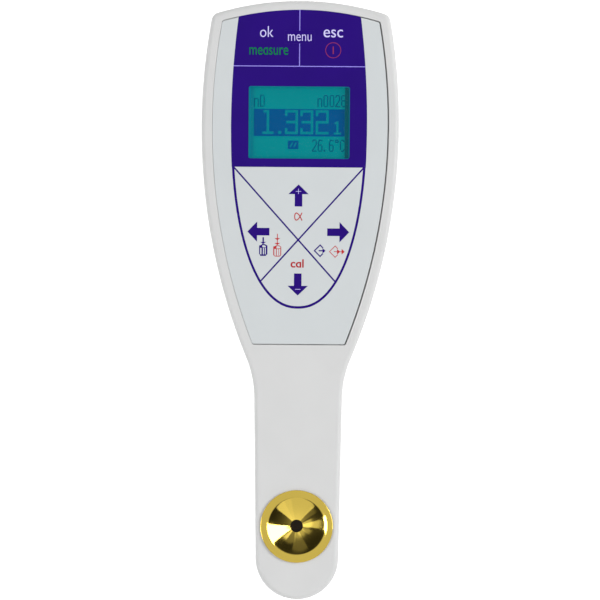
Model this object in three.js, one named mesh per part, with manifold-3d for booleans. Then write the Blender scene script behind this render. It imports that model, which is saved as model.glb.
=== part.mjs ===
// Portable refractometer: a handheld meter with a display head and a sample dish in its tail.
// Units are millimetres. The meter lies on its back: +Z is up, the keys face up, and +Y points to
// the head's end. The origin is under the middle of the bounding box, on the flat back.

import * as THREE from "three";
import { mergeVertices } from "three/addons/utils/BufferGeometryUtils.js";
import Module from "manifold-3d";

const wasm = await Module();
wasm.setup();

// Housing, seen from above
const headLength = 170;
const tailLength = 80;
const headWidth = 82.5;
const neckWidth = 36.6;
const tipWidth = 34.6;
const sideRadius = 252;
const headEndRadius = 120;
const headCornerRadius = 3.5;
const neckRadius = 45;

// Housing, seen from the side
const headThickness = 28;
const partingHeight = 13;
const partingGap = 0.3;
const faceDrop = 2.5;
const backRaise = 5;
const faceDropEndFromTailEnd = 63;
const backRaiseEndFromTailEnd = 66;
const frontEdgeRadius = 2;
const backEdgeInset = 3.2;
const backEdgeHeight = 5;
const sideWall = 2.2;
const backWall = 2.4;
const tailFaceWall = 2.4;
const keypadFloorWall = 1.6;
const ceilingEdge = 1;
const floorEdgeInset = 1.2;
const floorEdgeHeight = 2.5;

// Places along the head, as shares of its length from the head's end
const widestShare = 0.3071;
const upperDomeShare = 0.0941;
const upperKeysFootShare = 0.1606;
const windowShare = 0.2982;
const arrowKeysTopShare = 0.4076;
const crossShare = 0.5853;
const panelFootShare = 0.8435;
const faceDropStartShare = 0.853;
const backRaiseStartShare = 0.835;
const chipShare = 0.494;
const boardShoulderShare = 0.5;
const buzzerShare = 0.6176;
const boardWaistShare = 0.653;
const lowerScrewShare = 0.706;
const boardFootShare = 0.806;
const shieldHeightShare = 0.4465;

// Clearances
const fitGap = 0.3;
const sheetGap = 0.1;
const keyGap = 0.2;
const overrun = 1;
const rootDepth = 0.8;
const weldDistance = 0.0001;

// Keypad panel and what is stacked in its recess
const panelSideInset = 4.4;
const panelEndInset = 3.8;
const panelCornerRadius = 1;
const filmBelowRim = 0.2;
const filmThickness = 0.8;
const spacerThickness = 1;
const circuitThickness = 0.5;
const keyTravel = 0.4;
const domeRadius = 5;
const domeCrownRadius = 2.6;
const domeHeight = 0.5;
const domeEdge = 0.12;
const circuitTailWidth = 12;
const circuitTailAboveFoot = 7;

// Key fields
const printBorder = 0.75;
const webWidth = 0.8;
const printSideInset = 8.45;
const printSideRadius = 363;
const printCornerRadius = 1.2;
const shieldPowerShare = 2.2;
const crossAngle = THREE.MathUtils.degToRad(48.1);
const arrowDomeSideShare = 0.581;
const arrowDomeRiseShare = 0.2174;
const upperDomeSideShare = 0.4754;

// Display
const windowWidth = 42.3;
const windowHeight = 30.5;
const glassWidth = 47.4;
const glassHeight = 35.4;
const glassThickness = 1.8;
const glassBelowFloor = 0.1;
const backlightThickness = 2.5;
const bezelWall = 1.6;

// Main board
const boardThickness = 1.6;
const boardSideInset = 12.25;
const boardFootSideInset = 20.75;
const chipSize = 12;
const chipThickness = 1.6;
const buzzerRadius = 6;
const buzzerHeight = 3.2;
const buzzerSide = 13;
const connectorWidth = 12;
const connectorDepth = 4;
const connectorHeight = 2;

// Screws and their posts
const screwHeadRadius = 2.3;
const screwHeadHeight = 1.6;
const screwShankRadius = 1.1;
const screwPoint = 0.8;
const screwLength = 16;
const counterboreDepth = 3.2;
const postRadius = 3.4;
const boardPostRadius = 2.6;
const boardScrewLength = 6;
const upperScrewSideInset = 9.25;
const upperScrewFromHeadEnd = 13;
const lowerScrewSideInset = 15.75;
const neckScrewSideInset = 6.9;
const neckScrewFromTailEnd = 75;
const tipScrewFromTailEnd = 9.5;
const boardScrewSideInset = 4;
const boardScrewEndInset = 3;
const boardScrewFootInset = 5;
const boardPostGap = 0.8;
const opticsScrewSideInset = 2.4;
const opticsScrewInset = 4.5;
const opticsScrewLength = 12.5;
const opticsSunkDepth = 2.3;

// Batteries, their tray and door
const cellRadius = 5.25;
const cellLength = 44.5;
const cellNippleRadius = 1.9;
const cellNippleLength = 1;
const cellSpacing = 0.6;
const trayWall = 1.4;
const trayEndFromHeadEnd = 9.5;
const trayFlangeWidth = 5.5;
const trayFlangeThickness = 1.5;
const contactSpace = 2.4;
const contactThickness = 0.5;
const contactWidth = 7;
const contactBulge = 1;
const doorHalfWidth = 14;
const doorTongue = 2;
const doorTongueThickness = 1;
const doorThickness = 1.9;
const doorAboveTable = 0.3;
const doorLength = 68;
const doorGripCount = 5;
const doorGripPitch = 2.4;
const doorGripWidth = 1.1;
const doorGripDepth = 0.5;
const doorGripLength = 16;
const doorGripFromEnd = 12;

// Seal between the housings
const sealWidth = 1;
const sealHeight = 1.6;
const sealGrooveGap = 0.15;
const sealGrooveInset = 0.55;

// Sample dish
const dishFromTailEnd = 30.5;
const dishRimRadius = 15.3;
const dishRimHalfWidth = 1.6;
const dishRimCrest = 0.9;
const dishBarrelRadius = 12.7;
const dishDepth = 7.3;
const dishHoleRadius = 2.65;
const dishHoleDepth = 2.2;
const dishSealRadius = 14.3;
const dishSealSection = 0.45;
const dishSealGrooveGap = 0.15;
const retainerRadius = 14.2;
const retainerThickness = 1.6;
const prismSealRadius = 3.9;
const prismSealSection = 0.5;

// Measuring optics under the dish
const opticsHalfWidth = 13;
const opticsLengthBefore = 14.5;
const opticsLengthAfter = 26;
const opticsHeight = 9.7;
const prismHalfWidth = 5;
const prismTopLength = 13;
const prismFootLength = 6;
const prismHeight = 6.5;
const lightBoreRadius = 2.1;
const lightBelowTop = 4.4;
const ledRadius = 1.5;
const ledBodyLength = 2.6;
const ledFromEnd = 0.6;
const lensRadius = 1.8;
const lensThickness = 1.4;
const lensEdge = 0.5;
const imagePathWidth = 9.6;
const imagePathHeight = 5;
const sensorWidth = 8.8;
const sensorHeight = 4;
const sensorDepth = 1.8;
const sensorBoardThickness = 1.2;
const sensorBoardWidth = 17;
const sensorBoardHeight = 8.5;
const probeRadius = 1.2;
const probeLength = 3.6;
const probeSide = 8.6;
const ribbonWidth = 8;
const ribbonThickness = 0.4;

// Steps that round shapes are divided into
const tipSteps = 9;
const tailSteps = 4;
const neckSteps = 4;
const sideSteps = 16;
const cornerSteps = 3;
const endSteps = 6;
const edgeSteps = 3;
const shieldSteps = 11;
const dishSteps = 48;
const rimSteps = 6;
const roundSteps = 24;
const smallRoundSteps = 14;
const ringSteps = 30;
const sectionSteps = 6;
const ribbonSteps = 10;

// Places worked out from the sizes above
const headEndY = (headLength + tailLength) / 2;
const tailEndY = -headEndY;
const widestY = placeAlongHead(widestShare);
const tipCentre = new THREE.Vector2(0, tailEndY + tipWidth / 2);
const sideCentre = new THREE.Vector2(headWidth / 2 - sideRadius, widestY);
const endCentre = new THREE.Vector2(0, headEndY - headEndRadius);
const tailFaceHeight = headThickness - faceDrop;
const dishCentreY = tailEndY + dishFromTailEnd;
const panelFootY = placeAlongHead(panelFootShare);
const filmTop = headThickness - filmBelowRim;
const filmBottom = filmTop - filmThickness;
const spacerTop = filmBottom - sheetGap;
const spacerBottom = spacerTop - spacerThickness;
const circuitTop = spacerBottom - sheetGap;
const circuitBottom = circuitTop - circuitThickness;
const keypadFloor = circuitBottom - sheetGap;
const headCeiling = keypadFloor - keypadFloorWall;
const tailCeiling = tailFaceHeight - tailFaceWall;
const windowY = placeAlongHead(windowShare);
const glassTop = keypadFloor - glassBelowFloor;
const backlightTop = glassTop - glassThickness - sheetGap;
const boardTop = backlightTop - backlightThickness - sheetGap;
const boardBottom = boardTop - boardThickness;
const upperKeysFootY = placeAlongHead(upperKeysFootShare);
const arrowKeysTopY = placeAlongHead(arrowKeysTopShare);
const crossY = placeAlongHead(crossShare);
const printHalfWidth = headWidth / 2 - panelSideInset - printSideInset;
const shieldHeight = headLength * shieldHeightShare;

function placeAlongHead(share) {
  return headEndY - headLength * share;
}

// Solids from geometry, and back

function solidFrom(positions, triangles) {
  const whole = triangles.filter(([a, b, c]) => a !== b && b !== c && c !== a);
  const mesh = new wasm.Mesh({
    numProp: 3,
    vertProperties: new Float32Array(positions),
    triVerts: new Uint32Array(whole.flat()),
  });
  return new wasm.Manifold(mesh);
}

function solidOf(geometry) {
  const bare = geometry.clone();
  bare.deleteAttribute("normal");
  bare.deleteAttribute("uv");
  const merged = mergeVertices(bare, weldDistance);
  const index = merged.getIndex().array;
  const triangles = [];
  for (let corner = 0; corner < index.length; corner += 3) {
    triangles.push([index[corner], index[corner + 1], index[corner + 2]]);
  }
  return solidFrom(merged.getAttribute("position").array, triangles);
}

function geometryOf(solid) {
  const { vertProperties, triVerts } = solid.getMesh();
  const geometry = new THREE.BufferGeometry();
  geometry.setAttribute("position", new THREE.BufferAttribute(vertProperties, 3));
  geometry.setIndex(new THREE.BufferAttribute(triVerts, 1));
  geometry.computeVertexNormals();
  return geometry;
}

function block(xRange, yRange, zRange) {
  const [width, depth, height] = [xRange, yRange, zRange].map(([low, high]) => high - low);
  const middle = [xRange, yRange, zRange].map(([low, high]) => (low + high) / 2);
  return solidOf(new THREE.BoxGeometry(width, depth, height).translate(...middle));
}

function rod(radius, x, y, zRange, steps = roundSteps) {
  const [low, high] = zRange;
  const geometry = new THREE.CylinderGeometry(radius, radius, high - low, steps);
  return solidOf(geometry.rotateX(Math.PI / 2).translate(x, y, (low + high) / 2));
}

function turned(profile, steps) {
  const points = profile.map(([radius, height]) => new THREE.Vector2(radius, height));
  return solidOf(new THREE.LatheGeometry(points, steps).rotateX(Math.PI / 2));
}

function turnedRing(radius, section, steps) {
  return solidOf(new THREE.TorusGeometry(radius, section, sectionSteps, steps));
}

function plate(corners, zRange) {
  const [low, high] = zRange;
  const shape = new THREE.Shape(corners.map(([x, y]) => new THREE.Vector2(x, y)));
  const options = { depth: high - low, bevelEnabled: false };
  return solidOf(new THREE.ExtrudeGeometry(shape, options).translate(0, 0, low));
}

// A section drawn in Y and Z and drawn out along X, centred on X
function sideProfile(corners, width) {
  const shape = new THREE.Shape(corners.map(([y, z]) => new THREE.Vector2(y, z)));
  const geometry = new THREE.ExtrudeGeometry(shape, { depth: width, bevelEnabled: false });
  geometry.translate(0, 0, -width / 2);
  geometry.rotateX(Math.PI / 2);
  geometry.rotateZ(Math.PI / 2);
  return solidOf(geometry);
}

function join(first, ...rest) {
  return rest.reduce((whole, piece) => whole.add(piece), first);
}

function cut(first, ...tools) {
  return tools.reduce((whole, tool) => whole.subtract(tool), first);
}

// Outlines: stations with a point and an outward normal, from the tail end up the right side

function arcStations(centre, radius, fromAngle, toAngle, steps) {
  const stations = [];
  for (let step = 0; step <= steps; step += 1) {
    const angle = THREE.MathUtils.lerp(fromAngle, toAngle, step / steps);
    const normal = new THREE.Vector2(Math.cos(angle), Math.sin(angle));
    stations.push({ point: normal.clone().multiplyScalar(radius).add(centre), normal });
  }
  return stations;
}

function lineStations(from, to, normal, steps) {
  const stations = [];
  for (let step = 0; step <= steps; step += 1) {
    stations.push({ point: from.clone().lerp(to, step / steps), normal });
  }
  return stations;
}

function chain(first, ...rest) {
  return rest.reduce((whole, next) => whole.concat(next.slice(1)), first);
}

function bearing(from, to) {
  return Math.atan2(to.y - from.y, to.x - from.x);
}

// The point at two given distances from two centres, on the right of the line from first to second
function meetingPoint(first, firstDistance, second, secondDistance) {
  const apart = first.distanceTo(second);
  const along = (firstDistance ** 2 - secondDistance ** 2 + apart ** 2) / (2 * apart);
  const aside = Math.sqrt(firstDistance ** 2 - along ** 2);
  const direction = second.clone().sub(first).divideScalar(apart);
  const right = new THREE.Vector2(direction.y, -direction.x);
  return first.clone().addScaledVector(direction, along).addScaledVector(right, aside);
}

function housingStations() {
  const taperDepth = tailLength - tipWidth / 2;
  const taper = Math.atan2((neckWidth - tipWidth) / 2, taperDepth);
  const tailNormal = new THREE.Vector2(Math.cos(taper), -Math.sin(taper));
  const tailDirection = new THREE.Vector2(Math.sin(taper), Math.cos(taper));
  const tailStart = tipCentre.clone().addScaledVector(tailNormal, tipWidth / 2);
  const offsetStart = tailStart.clone().addScaledVector(tailNormal, neckRadius);
  const toCentre = sideCentre.clone().sub(offsetStart);
  const nearest = toCentre.dot(tailDirection);
  const away = toCentre.dot(tailNormal);
  const reach = Math.sqrt((sideRadius + neckRadius) ** 2 - away ** 2);
  const neckCentre = offsetStart.clone().addScaledVector(tailDirection, nearest - reach);
  const neckStart = neckCentre.clone().addScaledVector(tailNormal, -neckRadius);
  const neckAngle = bearing(sideCentre, neckCentre);
  const cornerCentre = meetingPoint(
    endCentre, headEndRadius - headCornerRadius, sideCentre, sideRadius - headCornerRadius,
  );
  const sideEnd = bearing(sideCentre, cornerCentre);
  const cornerEnd = bearing(endCentre, cornerCentre);
  return chain(
    arcStations(tipCentre, tipWidth / 2, -Math.PI / 2, -taper, tipSteps),
    lineStations(tailStart, neckStart, tailNormal, tailSteps),
    arcStations(neckCentre, -neckRadius, -taper, neckAngle, neckSteps),
    arcStations(sideCentre, sideRadius, neckAngle, sideEnd, sideSteps),
    arcStations(cornerCentre, headCornerRadius, sideEnd, cornerEnd, cornerSteps),
    arcStations(endCentre, headEndRadius, cornerEnd, Math.PI / 2, endSteps),
  );
}

// A field with a straight foot, two bowed sides and a bowed end, all corners rounded
function fieldStations({ footY, centre, radius, endRadius, corner, steps }) {
  const innerReach = radius - corner;
  const footCentreY = footY + corner;
  const footRise = footCentreY - centre.y;
  const footCentre = new THREE.Vector2(centre.x + Math.sqrt(innerReach ** 2 - footRise ** 2), footCentreY);
  const endCorner = meetingPoint(endCentre, endRadius - corner, centre, innerReach);
  const sideStart = bearing(centre, footCentre);
  const sideEnd = bearing(centre, endCorner);
  const cornerEnd = bearing(endCentre, endCorner);
  const down = new THREE.Vector2(0, -1);
  const foot = [new THREE.Vector2(0, footY), new THREE.Vector2(footCentre.x, footY)];
  return chain(
    lineStations(foot[0], foot[1], down, 1),
    arcStations(footCentre, corner, -Math.PI / 2, sideStart, cornerSteps),
    arcStations(centre, radius, sideStart, sideEnd, steps),
    arcStations(endCorner, corner, sideEnd, cornerEnd, cornerSteps),
    arcStations(endCentre, endRadius, cornerEnd, Math.PI / 2, endSteps),
  );
}

const housingOutline = housingStations();
const panelOutline = fieldStations({
  footY: panelFootY,
  centre: sideCentre,
  radius: sideRadius - panelSideInset,
  endRadius: headEndRadius - panelEndInset,
  corner: panelCornerRadius,
  steps: sideSteps,
});
const printOutline = fieldStations({
  footY: arrowKeysTopY,
  centre: new THREE.Vector2(printHalfWidth - printSideRadius, widestY),
  radius: printSideRadius,
  endRadius: headEndRadius - panelEndInset,
  corner: printCornerRadius,
  steps: sideSteps / 2,
});

// One ring of a loft: the outline drawn in by an inset, at a height that may follow Y
function ring(stations, inset, heightAt) {
  const right = stations.map(({ point, normal }) => {
    const x = point.x - inset * normal.x;
    const y = point.y - inset * normal.y;
    return new THREE.Vector3(x, y, heightAt(y));
  });
  const left = right.slice(1, -1).reverse().map((point) => new THREE.Vector3(-point.x, point.y, point.z));
  return [...right, ...left];
}

// A closed solid through rings from low to high; each cap is a row of strips from side to side
function loft(rings) {
  const count = rings[0].length;
  const positions = rings.flat().flatMap((point) => point.toArray());
  const top = count * (rings.length - 1);
  const triangles = [];
  for (let level = 0; level + 1 < rings.length; level += 1) {
    const low = level * count;
    const high = low + count;
    for (let place = 0; place < count; place += 1) {
      const next = (place + 1) % count;
      triangles.push([low + place, low + next, high + next], [low + place, high + next, high + place]);
    }
  }
  for (let place = 0; place < count / 2; place += 1) {
    const next = place + 1;
    const across = (count - place) % count;
    const nextAcross = count - next;
    triangles.push([top + place, top + next, top + nextAcross], [top + place, top + nextAcross, top + across]);
    triangles.push([nextAcross, next, place], [across, nextAcross, place]);
  }
  return solidFrom(positions, triangles);
}

function slab(stations, inset, zRange) {
  return loft(zRange.map((height) => ring(stations, inset, () => height)));
}

// Heights that follow the length of the housing

const faceDropStartY = placeAlongHead(faceDropStartShare);
const faceDropEndY = tailEndY + faceDropEndFromTailEnd;
const backRaiseStartY = placeAlongHead(backRaiseStartShare);
const backRaiseEndY = tailEndY + backRaiseEndFromTailEnd;

function faceHeight(y) {
  return headThickness - faceDrop * (1 - THREE.MathUtils.smoothstep(y, faceDropEndY, faceDropStartY));
}

function ceilingHeight(y) {
  const share = THREE.MathUtils.smoothstep(y, faceDropEndY, faceDropStartY);
  return THREE.MathUtils.lerp(tailCeiling, headCeiling, share);
}

function backHeight(y) {
  return backRaise * (1 - THREE.MathUtils.smoothstep(y, backRaiseEndY, backRaiseStartY));
}

// A quarter round as pairs of inset and distance to the face, from the side to the face
function edgeRound(insetSize, heightSize) {
  const pairs = [];
  for (let step = 0; step <= edgeSteps; step += 1) {
    const angle = (Math.PI / 2) * (step / edgeSteps);
    pairs.push([insetSize * (1 - Math.cos(angle)), heightSize * (1 - Math.sin(angle))]);
  }
  return pairs;
}

function frontForm() {
  const edge = edgeRound(frontEdgeRadius, frontEdgeRadius);
  const parting = ring(housingOutline, 0, () => partingHeight + partingGap);
  return loft([parting, ...edge.map(([inset, fall]) => ring(housingOutline, inset, (y) => faceHeight(y) - fall))]);
}

function backForm() {
  const edge = edgeRound(backEdgeInset, backEdgeHeight).reverse();
  const rings = edge.map(([inset, rise]) => ring(housingOutline, inset, (y) => backHeight(y) + rise));
  return loft([...rings, ring(housingOutline, 0, () => partingHeight)]);
}

function frontCavity() {
  return loft([
    ring(housingOutline, sideWall, () => partingHeight - overrun),
    ring(housingOutline, sideWall, (y) => ceilingHeight(y) - ceilingEdge),
    ring(housingOutline, sideWall + ceilingEdge, (y) => ceilingHeight(y)),
  ]);
}

function backCavity() {
  return loft([
    ring(housingOutline, sideWall + floorEdgeInset, (y) => backHeight(y) + backWall),
    ring(housingOutline, sideWall, (y) => backHeight(y) + backWall + floorEdgeHeight),
    ring(housingOutline, sideWall, () => partingHeight + overrun),
  ]);
}

// Key fields: a margin draws each field in from its own edge

function shieldField(margin, zRange) {
  const halfWidth = printHalfWidth - printBorder - margin;
  const height = shieldHeight - printBorder - margin;
  const corners = [];
  for (let step = 0; step <= 2 * shieldSteps; step += 1) {
    const angle = Math.PI * (step / (2 * shieldSteps));
    const across = Math.cos(angle);
    const down = Math.sin(angle);
    const x = halfWidth * Math.sign(across) * Math.abs(across) ** (2 / shieldPowerShare);
    corners.push([x, widestY - height * down ** (2 / shieldPowerShare)]);
  }
  return plate(corners.reverse(), zRange);
}

function arrowField(direction, margin, zRange) {
  const reach = headWidth;
  const away = webWidth / 2 + margin;
  const upright = direction === "up" || direction === "down";
  const sign = direction === "up" || direction === "right" ? 1 : -1;
  const across = reach * Math.cos(crossAngle);
  const along = reach * Math.sin(crossAngle);
  const apex = upright ? sign * away / Math.cos(crossAngle) : sign * away / Math.sin(crossAngle);
  const corners = upright
    ? [[0, crossY + apex], [across, crossY + apex + sign * along], [-across, crossY + apex + sign * along]]
    : [[apex, crossY], [apex + sign * across, crossY - along], [apex + sign * across, crossY + along]];
  const ordered = sign > 0 ? corners : [...corners].reverse();
  const wedge = plate(ordered, zRange);
  const topEdge = arrowKeysTopY - webWidth / 2 - margin;
  const below = block([-headWidth, headWidth], [tailEndY, topEdge], zRange);
  return shieldField(margin, zRange).intersect(wedge).intersect(below);
}

function upperField(direction, margin, zRange) {
  const away = webWidth / 2 + margin;
  const sign = direction === "esc" ? 1 : -1;
  const xRange = [sign * away, sign * headWidth].sort((low, high) => low - high);
  const half = block(xRange, [upperKeysFootY + away, headEndY], zRange);
  return slab(printOutline, printBorder + margin, zRange).intersect(half);
}

const keyFields = {
  ok: (margin, zRange) => upperField("ok", margin, zRange),
  esc: (margin, zRange) => upperField("esc", margin, zRange),
  up: (margin, zRange) => arrowField("up", margin, zRange),
  down: (margin, zRange) => arrowField("down", margin, zRange),
  left: (margin, zRange) => arrowField("left", margin, zRange),
  right: (margin, zRange) => arrowField("right", margin, zRange),
};

const upperDomeX = printHalfWidth * upperDomeSideShare;
const upperDomeY = placeAlongHead(upperDomeShare);
const arrowDomeX = printHalfWidth * arrowDomeSideShare;
const arrowDomeRise = shieldHeight * arrowDomeRiseShare;
const domePlaces = {
  ok: [-upperDomeX, upperDomeY],
  esc: [upperDomeX, upperDomeY],
  up: [0, crossY + arrowDomeRise],
  down: [0, crossY - arrowDomeRise],
  left: [-arrowDomeX, crossY],
  right: [arrowDomeX, crossY],
};

function windowBlock(width, height, zRange) {
  return block([-width / 2, width / 2], [windowY - height / 2, windowY + height / 2], zRange);
}

// Screw places

function bothSides(x, y) {
  return [[-x, y], [x, y]];
}

const housingScrewPlaces = [
  ...bothSides(headWidth / 2 - upperScrewSideInset, headEndY - upperScrewFromHeadEnd),
  ...bothSides(headWidth / 2 - lowerScrewSideInset, placeAlongHead(lowerScrewShare)),
  ...bothSides(neckWidth / 2 - neckScrewSideInset, tailEndY + neckScrewFromTailEnd),
  [0, tailEndY + tipScrewFromTailEnd],
];
const boardHalfWidth = headWidth / 2 - boardSideInset;
const boardFootHalfWidth = headWidth / 2 - boardFootSideInset;
const boardFootY = placeAlongHead(boardFootShare);
const boardScrewEndY = windowY + glassHeight / 2 + bezelWall + boardPostGap + boardPostRadius;
const boardEndY = boardScrewEndY + boardScrewEndInset;
const boardScrewPlaces = [
  ...bothSides(boardHalfWidth - boardScrewSideInset, boardScrewEndY),
  ...bothSides(boardFootHalfWidth - boardScrewSideInset, boardFootY + boardScrewFootInset),
];
const opticsFootY = dishCentreY - opticsLengthBefore;
const opticsHeadY = dishCentreY + opticsLengthAfter;
const opticsTop = tailFaceHeight - dishDepth - 2 * fitGap;
const opticsBottom = opticsTop - opticsHeight;
const opticsScrewPlaces = bothSides(opticsHalfWidth - opticsScrewSideInset, opticsHeadY - opticsScrewInset);
const opticsScrewFoot = opticsBottom + opticsSunkDepth - fitGap - screwHeadHeight;
const boardScrewFoot = boardBottom - sheetGap - screwHeadHeight;
const pilotRadius = screwShankRadius + fitGap;

// Front housing: shell, screw posts, panel recess, display opening and dish seat
function frontHousing() {
  const shell = frontForm().subtract(frontCavity());
  const postFoot = partingHeight + partingGap;
  const posts = housingScrewPlaces.map(([x, y]) =>
    rod(postRadius, x, y, [postFoot, ceilingHeight(y) + rootDepth], smallRoundSteps));
  const boardPosts = boardScrewPlaces.map(([x, y]) =>
    rod(boardPostRadius, x, y, [boardTop + fitGap, headCeiling + rootDepth], smallRoundSteps));
  const opticsPosts = opticsScrewPlaces.map(([x, y]) =>
    rod(boardPostRadius, x, y, [opticsTop + fitGap, ceilingHeight(y) + rootDepth], smallRoundSteps));
  const pilots = housingScrewPlaces.map(([x, y]) =>
    rod(pilotRadius, x, y, [partingHeight, screwTip(y) + fitGap], smallRoundSteps));
  const boardPilots = boardScrewPlaces.map(([x, y]) =>
    rod(pilotRadius, x, y, [boardTop, boardScrewFoot + boardScrewLength + fitGap], smallRoundSteps));
  const opticsPilots = opticsScrewPlaces.map(([x, y]) =>
    rod(pilotRadius, x, y, [opticsTop, opticsScrewFoot + opticsScrewLength + fitGap], smallRoundSteps));
  const recess = slab(panelOutline, 0, [keypadFloor, headThickness + overrun]);
  const opening = windowBlock(
    glassWidth + 2 * fitGap, glassHeight + 2 * fitGap, [headCeiling - overrun, keypadFloor + overrun],
  );
  const slotWidth = circuitTailWidth / 2 + fitGap;
  const slotHalf = circuitThickness / 2 + fitGap;
  const slot = block(
    [-slotWidth, slotWidth],
    [circuitTailY - slotHalf, circuitTailY + slotHalf],
    [headCeiling - overrun, keypadFloor + overrun],
  );
  const seatRange = [tailCeiling - overrun, tailFaceHeight + overrun];
  const seat = rod(dishBarrelRadius + fitGap, 0, dishCentreY, seatRange, dishSteps);
  const sealReach = dishSealSection + dishSealGrooveGap;
  const grooveRange = [tailFaceHeight - 2 * dishSealSection - dishSealGrooveGap, tailFaceHeight + overrun];
  const groove = cut(
    rod(dishSealRadius + sealReach, 0, dishCentreY, grooveRange, dishSteps),
    rod(dishSealRadius - sealReach, 0, dishCentreY, grooveRange, dishSteps),
  );
  const body = join(shell, ...posts, ...boardPosts, ...opticsPosts);
  return cut(body, ...pilots, ...boardPilots, ...opticsPilots, recess, opening, slot, seat, groove);
}

// Rear housing: shell, screw posts with sunk heads, door channel and seal groove
function rearHousing() {
  const posts = housingScrewPlaces.map(([x, y]) =>
    rod(postRadius, x, y, [backHeight(y) + rootDepth, partingHeight], smallRoundSteps));
  const bores = housingScrewPlaces.map(([x, y]) =>
    rod(pilotRadius, x, y, [-overrun, partingHeight + overrun], smallRoundSteps));
  const sunkHeads = housingScrewPlaces.map(([x, y]) =>
    rod(screwHeadRadius + fitGap, x, y, [-overrun, backHeight(y) + counterboreDepth], smallRoundSteps));
  const groove = cut(
    slab(housingOutline, sealGrooveInset, [partingHeight - sealDepth(), partingHeight + overrun]),
    slab(housingOutline, sealGrooveInset + sealWidth + 2 * sealGrooveGap, [0, partingHeight + 2 * overrun]),
  );
  const channel = doorChannel(fitGap);
  return cut(join(backForm().subtract(backCavity()), ...posts), ...bores, ...sunkHeads, groove, channel);
}

// The channel that the door slides in, open through the head's end
const doorStartY = headEndY - doorLength;
const doorTop = doorAboveTable + doorThickness;

function doorChannel(gap) {
  const yRange = [doorStartY - gap, headEndY + overrun];
  const mouth = doorHalfWidth + gap;
  const wide = doorHalfWidth + doorTongue + gap;
  return join(
    block([-mouth, mouth], yRange, [-overrun, doorTop - doorTongueThickness]),
    block([-wide, wide], yRange, [doorTop - doorTongueThickness - gap, doorTop + gap]),
  );
}

function batteryDoor() {
  const yRange = [doorStartY, headEndY];
  const wide = doorHalfWidth + doorTongue;
  const panel = block([-doorHalfWidth, doorHalfWidth], yRange, [doorAboveTable, doorTop]);
  const tongues = block([-wide, wide], yRange, [doorTop - doorTongueThickness, doorTop]);
  const grips = [];
  for (let place = 0; place < doorGripCount; place += 1) {
    const y = headEndY - doorGripFromEnd - place * doorGripPitch;
    grips.push(block(
      [-doorGripLength / 2, doorGripLength / 2],
      [y - doorGripWidth / 2, y + doorGripWidth / 2],
      [0, doorAboveTable + doorGripDepth],
    ));
  }
  return cut(join(panel, tongues).intersect(backForm()), ...grips);
}

function sealDepth() {
  return sealHeight - partingGap;
}

function housingSeal() {
  const inset = sealGrooveInset + sealGrooveGap;
  const zRange = [partingHeight - sealDepth() + sealGrooveGap, partingHeight + partingGap - sealGrooveGap];
  const hollow = [partingHeight - sealHeight, partingHeight + sealHeight];
  return slab(housingOutline, inset, zRange).subtract(slab(housingOutline, inset + sealWidth, hollow));
}

// Keypad stack: film, spacer, circuit, domes and the six keys

function keypadSheet(zRange, margin) {
  const holes = Object.values(keyFields).map((field) => field(margin, sunk(zRange)));
  const window = windowBlock(windowWidth, windowHeight, sunk(zRange));
  return cut(slab(panelOutline, keyGap, zRange), window, ...holes);
}

function sunk([low, high]) {
  return [low - overrun, high + overrun];
}

const circuitTailY = panelFootY + circuitTailAboveFoot;

function keypadCircuit() {
  const zRange = [circuitBottom, circuitTop];
  const sheet = slab(panelOutline, keyGap, zRange);
  const tail = block(
    [-circuitTailWidth / 2, circuitTailWidth / 2],
    [circuitTailY - circuitThickness / 2, circuitTailY + circuitThickness / 2],
    [boardTop + fitGap, circuitTop],
  );
  return join(sheet, tail).subtract(windowBlock(windowWidth, windowHeight, sunk(zRange)));
}

function snapDome([x, y]) {
  const low = circuitTop + sheetGap;
  const dome = turned([
    [0, 0],
    [domeRadius, 0],
    [domeRadius, domeEdge],
    [domeCrownRadius, domeHeight - domeEdge],
    [0, domeHeight],
  ], smallRoundSteps);
  return dome.translate([x, y, low]);
}

function keyPlate(field) {
  return field(keyGap, [filmBottom, filmTop]);
}

// Display stack

function displayWindow() {
  return windowBlock(windowWidth - 2 * keyGap, windowHeight - 2 * keyGap, [filmBottom, filmTop]);
}

function displayBezel() {
  const zRange = [boardTop + sheetGap, backlightTop];
  const outer = windowBlock(glassWidth + 2 * bezelWall, glassHeight + 2 * bezelWall, zRange);
  return outer.subtract(windowBlock(glassWidth - 2 * fitGap, glassHeight - 2 * fitGap, sunk(zRange)));
}

function displayBacklight() {
  const zRange = [backlightTop - backlightThickness, backlightTop];
  return windowBlock(glassWidth - 4 * fitGap, glassHeight - 4 * fitGap, zRange);
}

// Main board and what it carries

function mainBoard() {
  const shoulderY = placeAlongHead(boardShoulderShare);
  const waistY = placeAlongHead(boardWaistShare);
  const board = plate([
    [-boardFootHalfWidth, boardFootY],
    [boardFootHalfWidth, boardFootY],
    [boardFootHalfWidth, waistY],
    [boardHalfWidth, shoulderY],
    [boardHalfWidth, boardEndY],
    [-boardHalfWidth, boardEndY],
    [-boardHalfWidth, shoulderY],
    [-boardFootHalfWidth, waistY],
  ], [boardBottom, boardTop]);
  const bores = boardScrewPlaces.map(([x, y]) =>
    rod(pilotRadius, x, y, sunk([boardBottom, boardTop]), smallRoundSteps));
  return cut(board, ...bores);
}

const partsTop = boardBottom - sheetGap;
const connectorY = boardFootY + connectorDepth / 2;

function processorChip() {
  const y = placeAlongHead(chipShare);
  return block(
    [-chipSize / 2, chipSize / 2], [y - chipSize / 2, y + chipSize / 2], [partsTop - chipThickness, partsTop],
  );
}

function buzzer() {
  return rod(buzzerRadius, buzzerSide, placeAlongHead(buzzerShare), [partsTop - buzzerHeight, partsTop]);
}

function ribbonConnector() {
  return block(
    [-connectorWidth / 2, connectorWidth / 2],
    [connectorY - connectorDepth / 2, connectorY + connectorDepth / 2],
    [partsTop - connectorHeight, partsTop],
  );
}

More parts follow.
